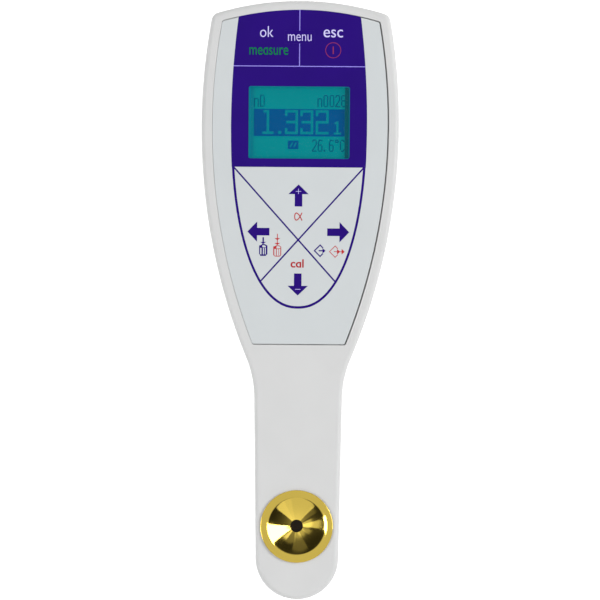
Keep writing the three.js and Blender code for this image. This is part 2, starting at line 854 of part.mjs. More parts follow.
// Screws stand head down, with their points up

function screwTip(y) {
  return backHeight(y) + counterboreDepth - fitGap - screwHeadHeight + screwLength;
}

function screw(length) {
  return turned([
    [0, 0],
    [screwHeadRadius, 0],
    [screwHeadRadius, screwHeadHeight],
    [screwShankRadius, screwHeadHeight],
    [screwShankRadius, length - screwPoint],
    [0, length],
  ], smallRoundSteps);
}

// Battery tray, cells and contacts

const cellCentreX = cellRadius + cellSpacing / 2;
const trayBottom = doorTop + 2 * fitGap;
const cellCentreZ = trayBottom + cellRadius;
const trayHalfWidth = cellCentreX + cellRadius + fitGap + trayWall;
const trayEndY = headEndY - trayEndFromHeadEnd;
const trayRoomLength = cellLength + 2 * contactSpace;
const roomEndY = trayEndY - trayWall;
const roomStartY = roomEndY - trayRoomLength;
const trayStartY = roomStartY - trayWall;
const trayRoof = cellCentreZ + cellRadius + fitGap;
const cellStartY = roomStartY + contactSpace;

function batteryTray() {
  const flangeX = trayHalfWidth + trayFlangeWidth;
  const inner = trayHalfWidth - trayWall;
  const box = block([-trayHalfWidth, trayHalfWidth], [trayStartY, trayEndY], [trayBottom, trayRoof + trayWall]);
  const flange = block([-flangeX, flangeX], [trayStartY, trayEndY], [trayBottom, trayBottom + trayFlangeThickness]);
  const room = block([-inner, inner], [roomStartY, roomEndY], [trayBottom - overrun, trayRoof]);
  const legSlots = [-1, 1].map((side) => {
    const x = side * cellCentreX;
    const half = contactWidth / 2 + fitGap;
    return block(
      [x - half, x + half],
      [roomStartY, roomStartY + contactThickness + 2 * fitGap],
      [trayRoof - overrun, trayRoof + trayWall + overrun],
    );
  });
  return cut(join(box, flange), room, ...legSlots);
}

function batteryCell() {
  const half = cellLength / 2;
  return turned([
    [0, -half],
    [cellRadius, -half],
    [cellRadius, half - cellNippleLength],
    [cellNippleRadius, half - cellNippleLength],
    [cellNippleRadius, half],
    [0, half],
  ], roundSteps);
}

// A contact strip stands at the room's end, bulges towards the cell and has a leg up to the board
function batteryContact(side) {
  const x = side * cellCentreX;
  const start = roomStartY + fitGap;
  const strip = [
    [start, cellCentreZ - contactWidth / 2],
    [start + contactThickness, cellCentreZ - contactWidth / 2],
    [start + contactThickness + contactBulge, cellCentreZ],
    [start + contactThickness, cellCentreZ + contactWidth / 2],
    [start + contactThickness, partsTop],
    [start, partsTop],
  ];
  return sideProfile(strip, contactWidth).translate([x, 0, 0]);
}

function batteryBridge() {
  const end = roomEndY - fitGap;
  const width = 2 * cellCentreX + contactWidth;
  return sideProfile([
    [end, cellCentreZ - contactWidth / 2],
    [end, cellCentreZ + contactWidth / 2],
    [end - contactThickness, cellCentreZ + contactWidth / 2],
    [end - contactThickness - contactBulge, cellCentreZ],
    [end - contactThickness, cellCentreZ - contactWidth / 2],
  ], width);
}

// Sample dish: a cone with a rounded rim, standing in the tail's face on its seal

const dishFlangeBottom = tailFaceHeight + sheetGap;
const dishBottom = tailFaceHeight - dishDepth;
const prismTop = opticsTop;

function sampleDish() {
  const rimMiddle = dishRimRadius - dishRimHalfWidth;
  const rim = [];
  for (let step = 0; step <= rimSteps; step += 1) {
    const angle = THREE.MathUtils.lerp((5 / 6) * Math.PI, 0, step / rimSteps);
    rim.push([
      rimMiddle + dishRimHalfWidth * Math.cos(angle),
      dishFlangeBottom + dishRimCrest * Math.sin(angle),
    ]);
  }
  const grooveIn = prismSealRadius - prismSealSection - dishSealGrooveGap;
  const grooveOut = prismSealRadius + prismSealSection + dishSealGrooveGap;
  const grooveTop = dishBottom + 2 * prismSealSection - fitGap;
  const profile = [
    [dishHoleRadius, dishBottom],
    [dishHoleRadius, dishBottom + dishHoleDepth],
    ...rim,
    [dishBarrelRadius, dishFlangeBottom],
    [dishBarrelRadius, dishBottom],
    [grooveOut, dishBottom],
    [grooveOut, grooveTop],
    [grooveIn, grooveTop],
    [grooveIn, dishBottom],
    [dishHoleRadius, dishBottom],
  ];
  return turned(profile.reverse(), dishSteps).translate([0, dishCentreY, 0]);
}

function dishSeal() {
  const height = tailFaceHeight - dishSealSection;
  return turnedRing(dishSealRadius, dishSealSection, ringSteps).translate([0, dishCentreY, height]);
}

function dishRetainer() {
  const top = tailCeiling - sheetGap;
  const zRange = [top - retainerThickness, top];
  return cut(
    rod(retainerRadius, 0, dishCentreY, zRange, ringSteps),
    rod(dishBarrelRadius + fitGap, 0, dishCentreY, sunk(zRange), dishSteps),
  );
}

function prismSeal() {
  const height = dishBottom + prismSealSection - fitGap - sheetGap;
  return turnedRing(prismSealRadius, prismSealSection, roundSteps).translate([0, dishCentreY, height]);
}

function prismProfile(grow) {
  const top = prismTop;
  const foot = prismTop - prismHeight - grow;
  return [
    [dishCentreY - prismTopLength / 2 - grow, top],
    [dishCentreY - prismFootLength / 2 - grow, foot],
    [dishCentreY + prismFootLength / 2 + grow, foot],
    [dishCentreY + prismTopLength / 2 + grow, top],
  ];
}

function prism() {
  return sideProfile(prismProfile(0), 2 * prismHalfWidth);
}

// Optics block: holds the prism, with a bore for the light and a path to the sensor
const lightHeight = opticsTop - lightBelowTop;
const pathY = [dishCentreY, opticsHeadY + overrun];

function lightBore() {
  const length = opticsLengthBefore + overrun;
  const bore = new THREE.CylinderGeometry(lightBoreRadius, lightBoreRadius, length, roundSteps);
  return solidOf(bore.translate(0, dishCentreY - length / 2, lightHeight));
}

function opticsBlock() {
  const bodyRange = [opticsBottom, opticsTop];
  const body = block([-opticsHalfWidth, opticsHalfWidth], [opticsFootY, opticsHeadY], bodyRange);
  const pocketHalf = prismTopLength / 2 + fitGap;
  const pocket = block(
    [-prismHalfWidth - fitGap, prismHalfWidth + fitGap],
    [dishCentreY - pocketHalf, dishCentreY + pocketHalf],
    [prismTop - prismHeight - fitGap, opticsTop + overrun],
  );
  const path = block(
    [-imagePathWidth / 2, imagePathWidth / 2],
    pathY,
    [lightHeight - imagePathHeight / 2, lightHeight + imagePathHeight / 2],
  );
  const probeBore = rod(
    probeRadius + fitGap, probeSide, dishCentreY, [opticsTop - probeLength, opticsTop + overrun], smallRoundSteps,
  );
  const bores = opticsScrewPlaces.map(([x, y]) => rod(pilotRadius, x, y, sunk(bodyRange), smallRoundSteps));
  const sunkRange = [opticsBottom - overrun, opticsBottom + opticsSunkDepth];
  const sunkHeads = opticsScrewPlaces.map(([x, y]) =>
    rod(screwHeadRadius + fitGap, x, y, sunkRange, smallRoundSteps));
  return cut(body, pocket, path, lightBore(), probeBore, ...bores, ...sunkHeads);
}

function lightSource() {
  const start = opticsFootY + ledFromEnd;
  const led = new THREE.LatheGeometry([
    [0, 0],
    [ledRadius, 0],
    [ledRadius, ledBodyLength],
    [ledRadius * Math.SQRT1_2, ledBodyLength + ledRadius * Math.SQRT1_2],
    [0, ledBodyLength + ledRadius],
  ].map(([radius, height]) => new THREE.Vector2(radius, height)), smallRoundSteps);
  return solidOf(led.translate(0, start, lightHeight));
}

function collimatingLens() {
  const start = dishCentreY - prismTopLength / 2 - fitGap - lensThickness;
  const lens = new THREE.LatheGeometry([
    [0, 0],
    [lensRadius, 0],
    [lensRadius, lensEdge],
    [lensRadius * Math.SQRT1_2, (lensEdge + lensThickness) / 2 + lensEdge / 2],
    [0, lensThickness],
  ].map(([radius, height]) => new THREE.Vector2(radius, height)), smallRoundSteps);
  return solidOf(lens.translate(0, start, lightHeight));
}

const sensorBoardY = opticsHeadY + fitGap;

function imageSensor() {
  const end = sensorBoardY - sheetGap;
  return block(
    [-sensorWidth / 2, sensorWidth / 2],
    [end - sensorDepth, end],
    [lightHeight - sensorHeight / 2, lightHeight + sensorHeight / 2],
  );
}

function sensorBoard() {
  return block(
    [-sensorBoardWidth / 2, sensorBoardWidth / 2],
    [sensorBoardY, sensorBoardY + sensorBoardThickness],
    [opticsTop - sensorBoardHeight, opticsTop],
  );
}

function temperatureSensor() {
  const top = opticsTop + sheetGap;
  return rod(probeRadius, probeSide, dishCentreY, [top - probeLength + fitGap, top], smallRoundSteps);
}

// The ribbon falls in a smooth line from the board's connector to the sensor board
function sensorRibbon() {
  const startY = connectorY - connectorDepth / 2 - fitGap;
  const endY = sensorBoardY + sensorBoardThickness + fitGap;
  const startZ = partsTop - connectorHeight / 2;
  const endZ = lightHeight;
  const upper = [];
  const lower = [];
  for (let step = 0; step <= ribbonSteps; step += 1) {
    const share = step / ribbonSteps;
    const y = THREE.MathUtils.lerp(startY, endY, share);
    const z = THREE.MathUtils.lerp(startZ, endZ, share * share * (3 - 2 * share));
    upper.push([y, z + ribbonThickness / 2]);
    lower.push([y, z - ribbonThickness / 2]);
  }
  return sideProfile([...upper, ...lower.reverse()], ribbonWidth);
}

// Finishes

function finish(color, roughness, metalness = 0, more = {}) {
  return new THREE.MeshStandardMaterial({ color, roughness, metalness, ...more });
}

const finishes = {
  housing: finish(0xd8d9d9, 0.45),
  film: finish(0xd2d6d8, 0.5),
  purpleKey: finish(0x2d1379, 0.4),
  greyKey: finish(0xd2d6d8, 0.5),
  clear: finish(0xe8f4f6, 0.05, 0, { transparent: true, opacity: 0.35 }),
  display: finish(0x088a8f, 0.25),
  backlight: finish(0xf4f6f2, 0.6),
  black: finish(0x17181a, 0.6),
  sheet: finish(0xc9b37a, 0.5),
  rubber: finish(0x2a2b2d, 0.85),
  board: finish(0x1c5a36, 0.5),
  steel: finish(0xb9bcc0, 0.3, 1),
  gold: finish(0xc8aa3c, 0.12, 1),
  cell: finish(0x2e4f8c, 0.35, 0.4),
  glass: finish(0xdfeef2, 0.02, 0, { transparent: true, opacity: 0.4 }),
  ribbon: finish(0xb9772b, 0.5),
};

const group = new THREE.Group();

function piece(name, solid, material, parent = group) {
  const mesh = new THREE.Mesh(geometryOf(solid), material);
  mesh.name = name;
  parent.add(mesh);
  return mesh;
}

piece("front_housing", frontHousing(), finishes.housing);
piece("rear_housing", rearHousing(), finishes.housing);
piece("housing_seal", housingSeal(), finishes.rubber);
piece("battery_door", batteryDoor(), finishes.housing);

piece("overlay_film", keypadSheet([filmBottom, filmTop], 0), finishes.film);
piece("keypad_spacer", keypadSheet([spacerBottom, spacerTop], -keyGap / 2), finishes.sheet);
piece("keypad_circuit", keypadCircuit(), finishes.sheet);
Object.entries(keyFields).forEach(([name, field]) => {
  const upper = name === "ok" || name === "esc";
  piece(`key_${name}`, keyPlate(field), upper ? finishes.purpleKey : finishes.greyKey);
  piece(`snap_dome_${name}`, snapDome(domePlaces[name]), finishes.steel);
});

piece("display_window", displayWindow(), finishes.clear);
piece("display_glass", windowBlock(glassWidth, glassHeight, [glassTop - glassThickness, glassTop]), finishes.display);
piece("display_backlight", displayBacklight(), finishes.backlight);
piece("display_bezel", displayBezel(), finishes.black);

piece("main_board", mainBoard(), finishes.board);
piece("processor_chip", processorChip(), finishes.black);
piece("buzzer", buzzer(), finishes.black);
piece("ribbon_connector", ribbonConnector(), finishes.backlight);

piece("battery_tray", batteryTray(), finishes.black);
[-1, 1].forEach((side, place) => {
  const holder = new THREE.Group();
  holder.position.set(side * cellCentreX, cellStartY + cellLength / 2, cellCentreZ);
  holder.rotation.x = side * Math.PI / 2;
  group.add(holder);
  piece(`battery_cell_${place + 1}`, batteryCell(), finishes.cell, holder);
  piece(`battery_contact_${place + 1}`, batteryContact(side), finishes.steel);
});
piece("battery_bridge", batteryBridge(), finishes.steel);

piece("sample_dish", sampleDish(), finishes.gold);
piece("dish_seal", dishSeal(), finishes.rubber);
piece("dish_retainer", dishRetainer(), finishes.steel);
piece("prism", prism(), finishes.glass);
piece("prism_seal", prismSeal(), finishes.rubber);
piece("optics_block", opticsBlock(), finishes.black);
piece("light_source", lightSource(), finishes.clear);
piece("collimating_lens", collimatingLens(), finishes.glass);
piece("image_sensor", imageSensor(), finishes.black);
piece("sensor_board", sensorBoard(), finishes.board);
piece("temperature_sensor", temperatureSensor(), finishes.steel);
piece("sensor_ribbon", sensorRibbon(), finishes.ribbon);

function placeScrews(name, places, length, heightAt) {
  places.forEach(([x, y], place) => {
    const mesh = piece(`${name}_${place + 1}`, screw(length), finishes.steel);
    mesh.position.set(x, y, heightAt(y));
  });
}

placeScrews("housing_screw", housingScrewPlaces, screwLength, (y) => screwTip(y) - screwLength);
placeScrews("board_screw", boardScrewPlaces, boardScrewLength, () => boardScrewFoot);
placeScrews("optics_screw", opticsScrewPlaces, opticsScrewLength, () => opticsScrewFoot);

export default group;
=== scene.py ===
"""Portable refractometer: the finished look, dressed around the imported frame."""

import logging
import math
from dataclasses import dataclass, replace
from enum import Enum
from typing import Callable, Optional

import bmesh
import bpy
from mathutils import Matrix, Vector


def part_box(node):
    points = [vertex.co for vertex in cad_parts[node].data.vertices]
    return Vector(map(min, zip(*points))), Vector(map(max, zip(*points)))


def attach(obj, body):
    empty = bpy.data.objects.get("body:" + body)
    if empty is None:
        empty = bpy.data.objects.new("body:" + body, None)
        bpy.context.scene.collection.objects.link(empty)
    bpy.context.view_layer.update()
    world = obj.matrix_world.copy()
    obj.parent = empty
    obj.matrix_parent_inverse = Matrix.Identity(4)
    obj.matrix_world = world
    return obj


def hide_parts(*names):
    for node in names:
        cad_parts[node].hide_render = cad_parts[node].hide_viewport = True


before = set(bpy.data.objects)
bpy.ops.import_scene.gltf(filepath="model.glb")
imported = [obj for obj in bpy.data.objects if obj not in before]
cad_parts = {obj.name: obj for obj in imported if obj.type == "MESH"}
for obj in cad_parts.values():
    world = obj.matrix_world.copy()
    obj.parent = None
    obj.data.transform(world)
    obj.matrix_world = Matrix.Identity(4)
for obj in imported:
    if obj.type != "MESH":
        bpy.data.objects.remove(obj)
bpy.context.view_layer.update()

MM = 0.001
WELD = 0.0005
QUARTER = math.pi / 2
DISH_PLACE = (0.0, -94.5)
BAR_LIFT = 0.0006
BAR_STEPS = 4
LETTER_SIZE = 10
LETTER_DEPTH = 0.5
LETTER_STEPS = 6
BEVEL_SEGMENTS = 3
FULL_WEIGHT = 100
SCREEN_LEVELS = 255
SCREEN_KNEE = 0.04045
SCREEN_SLOPE = 12.92
SCREEN_LIFT = 0.055
SCREEN_POWER = 2.4
SMOOTH_ANGLE = math.radians(35)
LOG = logging.getLogger("refractometer")

Point = tuple[float, float]
Place = tuple[float, float, float]
Colour = tuple[float, float, float]
Stroke = tuple[Point, Point, float]
Height = Callable[[float], float]
Face = bmesh.types.BMFace
Vert = bmesh.types.BMVert
Socket = bpy.types.NodeSocket
Tree = bpy.types.NodeTree


class Cut(Enum):
    """How one solid is combined with another."""

    TAKE_AWAY = "DIFFERENCE"
    ADD = "UNION"
    KEEP_COMMON = "INTERSECT"


class Key(Enum):
    """The six keys, named as their bodies are."""

    OK = "key_ok"
    ESC = "key_esc"
    UP = "key_up"
    DOWN = "key_down"
    LEFT = "key_left"
    RIGHT = "key_right"


ARROW_KEYS = (Key.UP, Key.DOWN, Key.LEFT, Key.RIGHT)


def from_screen(*levels: int) -> Colour:
    """The light that red, green and blue levels from 0 to 255 on a screen stand for."""
    shares = [level / SCREEN_LEVELS for level in levels]
    return tuple(
        share / SCREEN_SLOPE if share <= SCREEN_KNEE
        else ((share + SCREEN_LIFT) / (1 + SCREEN_LIFT)) ** SCREEN_POWER
        for share in shares
    )


def smooth_share(value: float, low: float, high: float) -> float:
    """How far value lies from low to high, eased at both ends."""
    share = min(max((value - low) / (high - low), 0.0), 1.0)
    return share * share * (3 - 2 * share)


def quarter_rows(inset: float, height: float, steps: int) -> list[Point]:
    """Insets and rises that round an edge over."""
    angles = [(QUARTER * step / steps, QUARTER * (step + 1) / steps) for step in range(steps)]
    return [
        (inset * (math.cos(start) - math.cos(end)), height * (math.sin(end) - math.sin(start)))
        for start, end in angles
    ]


# Drafts


class Draft:
    """A mesh being shaped, in millimetres."""

    def __init__(self) -> None:
        """Starts with an empty mesh."""
        self.bm = bmesh.new()

    def everything(self) -> list:
        """All vertices, edges and faces."""
        return self.bm.verts[:] + self.bm.edges[:] + self.bm.faces[:]

    def pen(self, x: float, y: float, z: float) -> Vert:
        """Sets the first vertex of an outline."""
        return self.bm.verts.new((x, y, z))

    def line(self, vert: Vert, x: float, y: float, steps: int = 1) -> Vert:
        """Draws a straight edge from a vertex.

        Args:
            vert: Where the line starts.
            x: Where it ends, across.
            y: Where it ends, along.
            steps: How many edges it has.

        Returns:
            The vertex at its end.
        """
        start = vert.co.copy()
        goal = Vector((x, y, start.z))
        for step in range(steps):
            vert = bmesh.ops.extrude_vert_indiv(self.bm, verts=[vert])["verts"][0]
            vert.co = start.lerp(goal, (step + 1) / steps)
        return vert

    def arc(self, vert: Vert, centre: Point, angle: float, steps: int) -> Vert:
        """Draws an arc from a vertex by spinning it.

        Args:
            vert: Where the arc starts.
            centre: What it turns about.
            angle: How far it turns, positive to the left.
            steps: How many edges it has.

        Returns:
            The vertex at its end.
        """
        spun = bmesh.ops.spin(
            self.bm, geom=[vert], cent=(centre[0], centre[1], vert.co.z), axis=(0, 0, 1),
            dvec=(0, 0, 0), angle=angle, steps=steps, use_merge=False, use_duplicate=False,
        )
        return next(part for part in spun["geom_last"] if isinstance(part, Vert))

    def close_by_mirror(self) -> Face:
        """Mirrors half an outline across the middle and fills it, facing up."""
        bmesh.ops.mirror(self.bm, geom=self.everything(), axis="X", merge_dist=WELD)
        return self.face_up(bmesh.ops.contextual_create(self.bm, geom=self.bm.edges[:])["faces"][0])

    def face_up(self, face: Face) -> Face:
        """Turns a flat face so that it looks up."""
        face.normal_update()
        if face.normal.z < 0:
            bmesh.ops.reverse_faces(self.bm, faces=[face])
        face.normal_update()
        return face

    def polygon(self, corners: list[Point], z: float) -> Face:
        """A flat face through a few corners."""
        verts = [self.bm.verts.new((x, y, z)) for x, y in corners]
        return self.face_up(self.bm.faces.new(verts))

    def raise_face(self, face: Face, height: float) -> Face:
        """Extrudes a face along Z and keeps its foot.

        Args:
            face: The face, which stays as the foot.
            height: How far the new face lies above it.

        Returns:
            The new face.
        """
        moved = bmesh.ops.extrude_face_region(self.bm, geom=[face], use_keep_orig=True)["geom"]
        verts = [part for part in moved if isinstance(part, Vert)]
        bmesh.ops.translate(self.bm, vec=(0, 0, height), verts=verts)
        self.bm.normal_update()
        return next(part for part in moved if isinstance(part, Face))

    def raise_only(self, height: float) -> "Draft":
        """Raises the draft's one face, and returns the draft."""
        self.bm.normal_update()
        self.raise_face(self.bm.faces[:][0], height)
        return self

    def step_in(self, face: Face, steps: list[Point]) -> None:
        """Draws a face in through rows of new faces.

        Args:
            face: The face, which ends up as the innermost one.
            steps: Each row's inset, and how far it moves out along the face's normal.
        """
        for inset, rise in steps:
            bmesh.ops.inset_region(
                self.bm, faces=[face], use_boundary=True, use_even_offset=True,
                thickness=inset, depth=rise,
            )
            self.bm.normal_update()

    def cut(self, place: Place, normal: Place, clear: bool = False) -> None:
        """Cuts along a plane; with clear, what lies beyond it goes."""
        bmesh.ops.bisect_plane(
            self.bm, geom=self.everything(), dist=WELD, plane_co=place, plane_no=normal,
            clear_outer=clear,
        )

    def trim(self, place: Point, away: Point) -> None:
        """Cuts off what lies beyond an upright plane, in the direction away."""
        self.cut((*place, 0), (*away, 0), True)

    def fill_holes(self) -> None:
        """Closes every open outline."""
        bmesh.ops.holes_fill(self.bm, edges=self.bm.edges)

    def bend(self, places: list[float], change: Callable[[Vector], float]) -> "Draft":
        """Bends the mesh along the part.

        Args:
            places: Where it is first cut across, along Y.
            change: Gives how far a vertex moves up for its place.

        Returns:
            The draft.
        """
        for place in places:
            self.cut((0, place, 0), (0, 1, 0))
        for vert in self.bm.verts:
            vert.co.z += change(vert.co)
        return self

    def block(self, low: Place, high: Place) -> "Draft":
        """Adds a block between two corners, and returns the draft."""
        size = Vector(high) - Vector(low)
        middle = (Vector(high) + Vector(low)) / 2
        matrix = Matrix.Translation(middle) @ Matrix.Diagonal((*size, 1))
        bmesh.ops.create_cube(self.bm, size=1, matrix=matrix)
        return self

    def round_uprights(self, edges: list, height: float, radius: float, segments: int) -> "Draft":
        """Rounds the upright ones of a few edges.

        Args:
            edges: The edges.
            height: How far an edge has to rise to count as upright.
            radius: How round they become.
            segments: How many faces each has around.

        Returns:
            The draft.
        """
        upright = [edge for edge in edges if abs((edge.verts[0].co - edge.verts[1].co).z) > height]
        bmesh.ops.bevel(
            self.bm, geom=upright, offset=radius, affect="EDGES", segments=segments, profile=0.5,
            material=-1,
        )
        return self

    def rod(self, radius: float, place: Point, low: float, high: float, steps: int = 48) -> "Draft":
        """Adds an upright rod, and returns the draft."""
        matrix = Matrix.Translation((*place, (low + high) / 2))
        bmesh.ops.create_cone(
            self.bm, cap_ends=True, cap_tris=False, segments=steps, radius1=radius, radius2=radius,
            depth=high - low, matrix=matrix,
        )
        return self

    def turn(self, profile: list[Point], place: Point, steps: int, closed: bool = True) -> "Draft":
        """Adds a shape turned about an upright axis.

        Args:
            profile: Radius and height of each corner of the section.
            place: Where the axis stands.
            steps: How many faces there are around.
            closed: Whether the section's end is joined to its start.

        Returns:
            The draft.
        """
        turned = bmesh.new()
        verts = [turned.verts.new((radius, 0, height)) for radius, height in profile]
        pairs = list(zip(verts, verts[1:]))
        if closed:
            pairs.append((verts[-1], verts[0]))
        edges = [turned.edges.new(pair) for pair in pairs]
        bmesh.ops.spin(
            turned, geom=verts + edges, cent=(0, 0, 0), axis=(0, 0, 1), dvec=(0, 0, 0),
            angle=2 * math.pi, steps=steps, use_merge=True, use_duplicate=False,
        )
        bmesh.ops.remove_doubles(turned, verts=turned.verts, dist=WELD)
        bmesh.ops.recalc_face_normals(turned, faces=turned.faces)
        bmesh.ops.translate(turned, vec=(*place, 0), verts=turned.verts)
        return self.take_in(turned)

    def take_in(self, other: bmesh.types.BMesh) -> "Draft":
        """Adds another mesh to this one and frees it."""
        loose = bpy.data.meshes.new("loose")
        other.to_mesh(loose)
        other.free()
        self.bm.from_mesh(loose)
        bpy.data.meshes.remove(loose)
        return self

    def face_out(self) -> "Draft":
        """Merges doubles and turns every face outwards."""
        bmesh.ops.remove_doubles(self.bm, verts=self.bm.verts, dist=WELD)
        bmesh.ops.recalc_face_normals(self.bm, faces=self.bm.faces)
        return self

    def combine(self, tool: "Draft", how: Cut = Cut.TAKE_AWAY) -> "Draft":
        """Takes another solid away, adds it, or keeps what both share.

        Args:
            tool: The other solid, which is used up.
            how: What is done with it.

        Returns:
            The draft, with the result as its mesh.
        """
        parts = []
        for name, draft in (("carved", self), ("tool", tool)):
            draft.face_out()
            mesh = bpy.data.meshes.new(name)
            draft.bm.to_mesh(mesh)
            parts.append(placed(name, mesh))
        modifier = parts[0].modifiers.new("combine", "BOOLEAN")
        modifier.object = parts[1]
        modifier.operation = how.value
        modifier.solver = "EXACT"
        bpy.context.view_layer.update()
        depsgraph = bpy.context.evaluated_depsgraph_get()
        result = bpy.data.meshes.new_from_object(parts[0].evaluated_get(depsgraph))
        self.bm.clear()
        self.bm.from_mesh(result)
        bpy.data.meshes.remove(result)
        for loose in parts:
            mesh = loose.data
            bpy.data.objects.remove(loose)
            bpy.data.meshes.remove(mesh)
        tool.bm.free()
        return self


def copied(draft: Draft) -> Draft:
    """A second draft with the same mesh."""
    twin = Draft()
    twin.bm.free()
    twin.bm = draft.bm.copy()
    return twin


# Outlines, seen from above


@dataclass(frozen=True)
class HousingOutline:
    """The outline of both housing halves: a broad head on a slim, slightly tapered tail."""

    head_end: float = 125.0
    tail_end: float = -125.0
    head_width: float = 82.5
    neck_width: float = 36.6
    tip_width: float = 34.6
    tail_length: float = 80.0
    side_radius: float = 252.0
    end_radius: float = 120.0
    corner_radius: float = 3.5
    neck_radius: float = 45.0
    widest_y: float = 72.793
    tip_steps: int = 26
    tail_steps: int = 4
    neck_steps: int = 16
    side_steps: int = 72
    corner_steps: int = 8
    end_steps: int = 22

    @property
    def side_centre(self) -> Vector:
        """What the long sides curve about, on the left."""
        return Vector((self.head_width / 2 - self.side_radius, self.widest_y))

    @property
    def end_centre(self) -> Vector:
        """What the head's end curves about."""
        return Vector((0, self.head_end - self.end_radius))

    def face(self, draft: Draft, inset: float, z: float) -> Face:
        """Draws the outline and fills it.

        Args:
            draft: The draft that it is drawn in.
            inset: How far it is drawn in from the real outline.
            z: Its height.

        Returns:
            The face, facing up.
        """
        tip_radius = self.tip_width / 2
        tip_centre = Vector((0, self.tail_end + tip_radius))
        taper = math.atan2((self.neck_width - self.tip_width) / 2, self.tail_length - tip_radius)
        out = Vector((math.cos(taper), -math.sin(taper)))
        along = Vector((math.sin(taper), math.cos(taper)))
        offset_start = tip_centre + out * (tip_radius + self.neck_radius)
        to_centre = self.side_centre - offset_start
        reach = math.sqrt((self.side_radius + self.neck_radius) ** 2 - to_centre.dot(out) ** 2)
        neck_centre = offset_start + along * (to_centre.dot(along) - reach)
        neck_start = neck_centre - out * (self.neck_radius + inset)
        neck_angle = bearing(self.side_centre, neck_centre)
        corner = meeting_point(
            self.end_centre, self.end_radius - self.corner_radius,
            self.side_centre, self.side_radius - self.corner_radius,
        )
        side_end = bearing(self.side_centre, corner)
        corner_end = bearing(self.end_centre, corner)
        vert = draft.pen(0, self.tail_end + inset, z)
        vert = draft.arc(vert, tip_centre[:], QUARTER - taper, self.tip_steps)
        vert = draft.line(vert, neck_start.x, neck_start.y, self.tail_steps)
        vert = draft.arc(vert, neck_centre[:], neck_angle + taper, self.neck_steps)
        vert = draft.arc(vert, self.side_centre[:], side_end - neck_angle, self.side_steps)
        vert = draft.arc(vert, corner[:], corner_end - side_end, self.corner_steps)
        draft.arc(vert, self.end_centre[:], QUARTER - corner_end, self.end_steps)
        return draft.close_by_mirror()


def bearing(start: Vector, end: Vector) -> float:
    """The direction from one point to another, as an angle."""
    return math.atan2(end.y - start.y, end.x - start.x)


def meeting_point(first: Vector, first_distance: float, second: Vector, second_distance: float) -> Vector:
    """The point at two distances from two centres.

    Args:
        first: The first centre.
        first_distance: The distance from it.
        second: The second centre.
        second_distance: The distance from that one.

    Returns:
        The point on the right of the line from the first centre to the second.
    """
    apart = (second - first).length
    along = (first_distance**2 - second_distance**2 + apart**2) / (2 * apart)
    aside = math.sqrt(first_distance**2 - along**2)
    direction = (second - first) / apart
    return first + direction * along + Vector((direction.y, -direction.x)) * aside


@dataclass(frozen=True)
class FieldOutline:
    """A field with a straight foot, two bowed sides and a bowed end."""

    foot_y: float
    centre: Point
    radius: float
    end_centre: Point
    end_radius: float
    corner: float
    side_steps: int = 48
    corner_steps: int = 5
    end_steps: int = 20

    def face(self, draft: Draft, inset: float, z: float) -> Face:
        """Draws the outline and fills it.

        Args:
            draft: The draft that it is drawn in.
            inset: How far it is drawn in; below zero it is drawn out.
            z: Its height.

        Returns:
            The face, facing up.
        """
        centre = Vector(self.centre)
        end_centre = Vector(self.end_centre)
        reach = self.radius - self.corner
        foot_y = self.foot_y + self.corner
        foot = Vector((centre.x + math.sqrt(reach**2 - (foot_y - centre.y) ** 2), foot_y))
        top = meeting_point(end_centre, self.end_radius - self.corner, centre, reach)
        side_start = bearing(centre, foot)
        side_end = bearing(centre, top)
        corner_end = bearing(end_centre, top)
        vert = draft.pen(0, self.foot_y + inset, z)
        vert = draft.line(vert, foot.x, self.foot_y + inset)
        vert = draft.arc(vert, foot[:], side_start + QUARTER, self.corner_steps)
        vert = draft.arc(vert, centre[:], side_end - side_start, self.side_steps)
        vert = draft.arc(vert, top[:], corner_end - side_end, self.corner_steps)
        draft.arc(vert, end_centre[:], QUARTER - corner_end, self.end_steps)
        return draft.close_by_mirror()


HOUSING = HousingOutline()
PANEL = FieldOutline(
    foot_y=-18.6, centre=HOUSING.side_centre[:], radius=247.6,
    end_centre=HOUSING.end_centre[:], end_radius=116.2, corner=1.0,
)
PRINT_BLOCK = FieldOutline(
    foot_y=51.0, centre=(28.4 - 363.0, HOUSING.widest_y), radius=363.0,
    end_centre=HOUSING.end_centre[:], end_radius=116.32, corner=1.2,
)


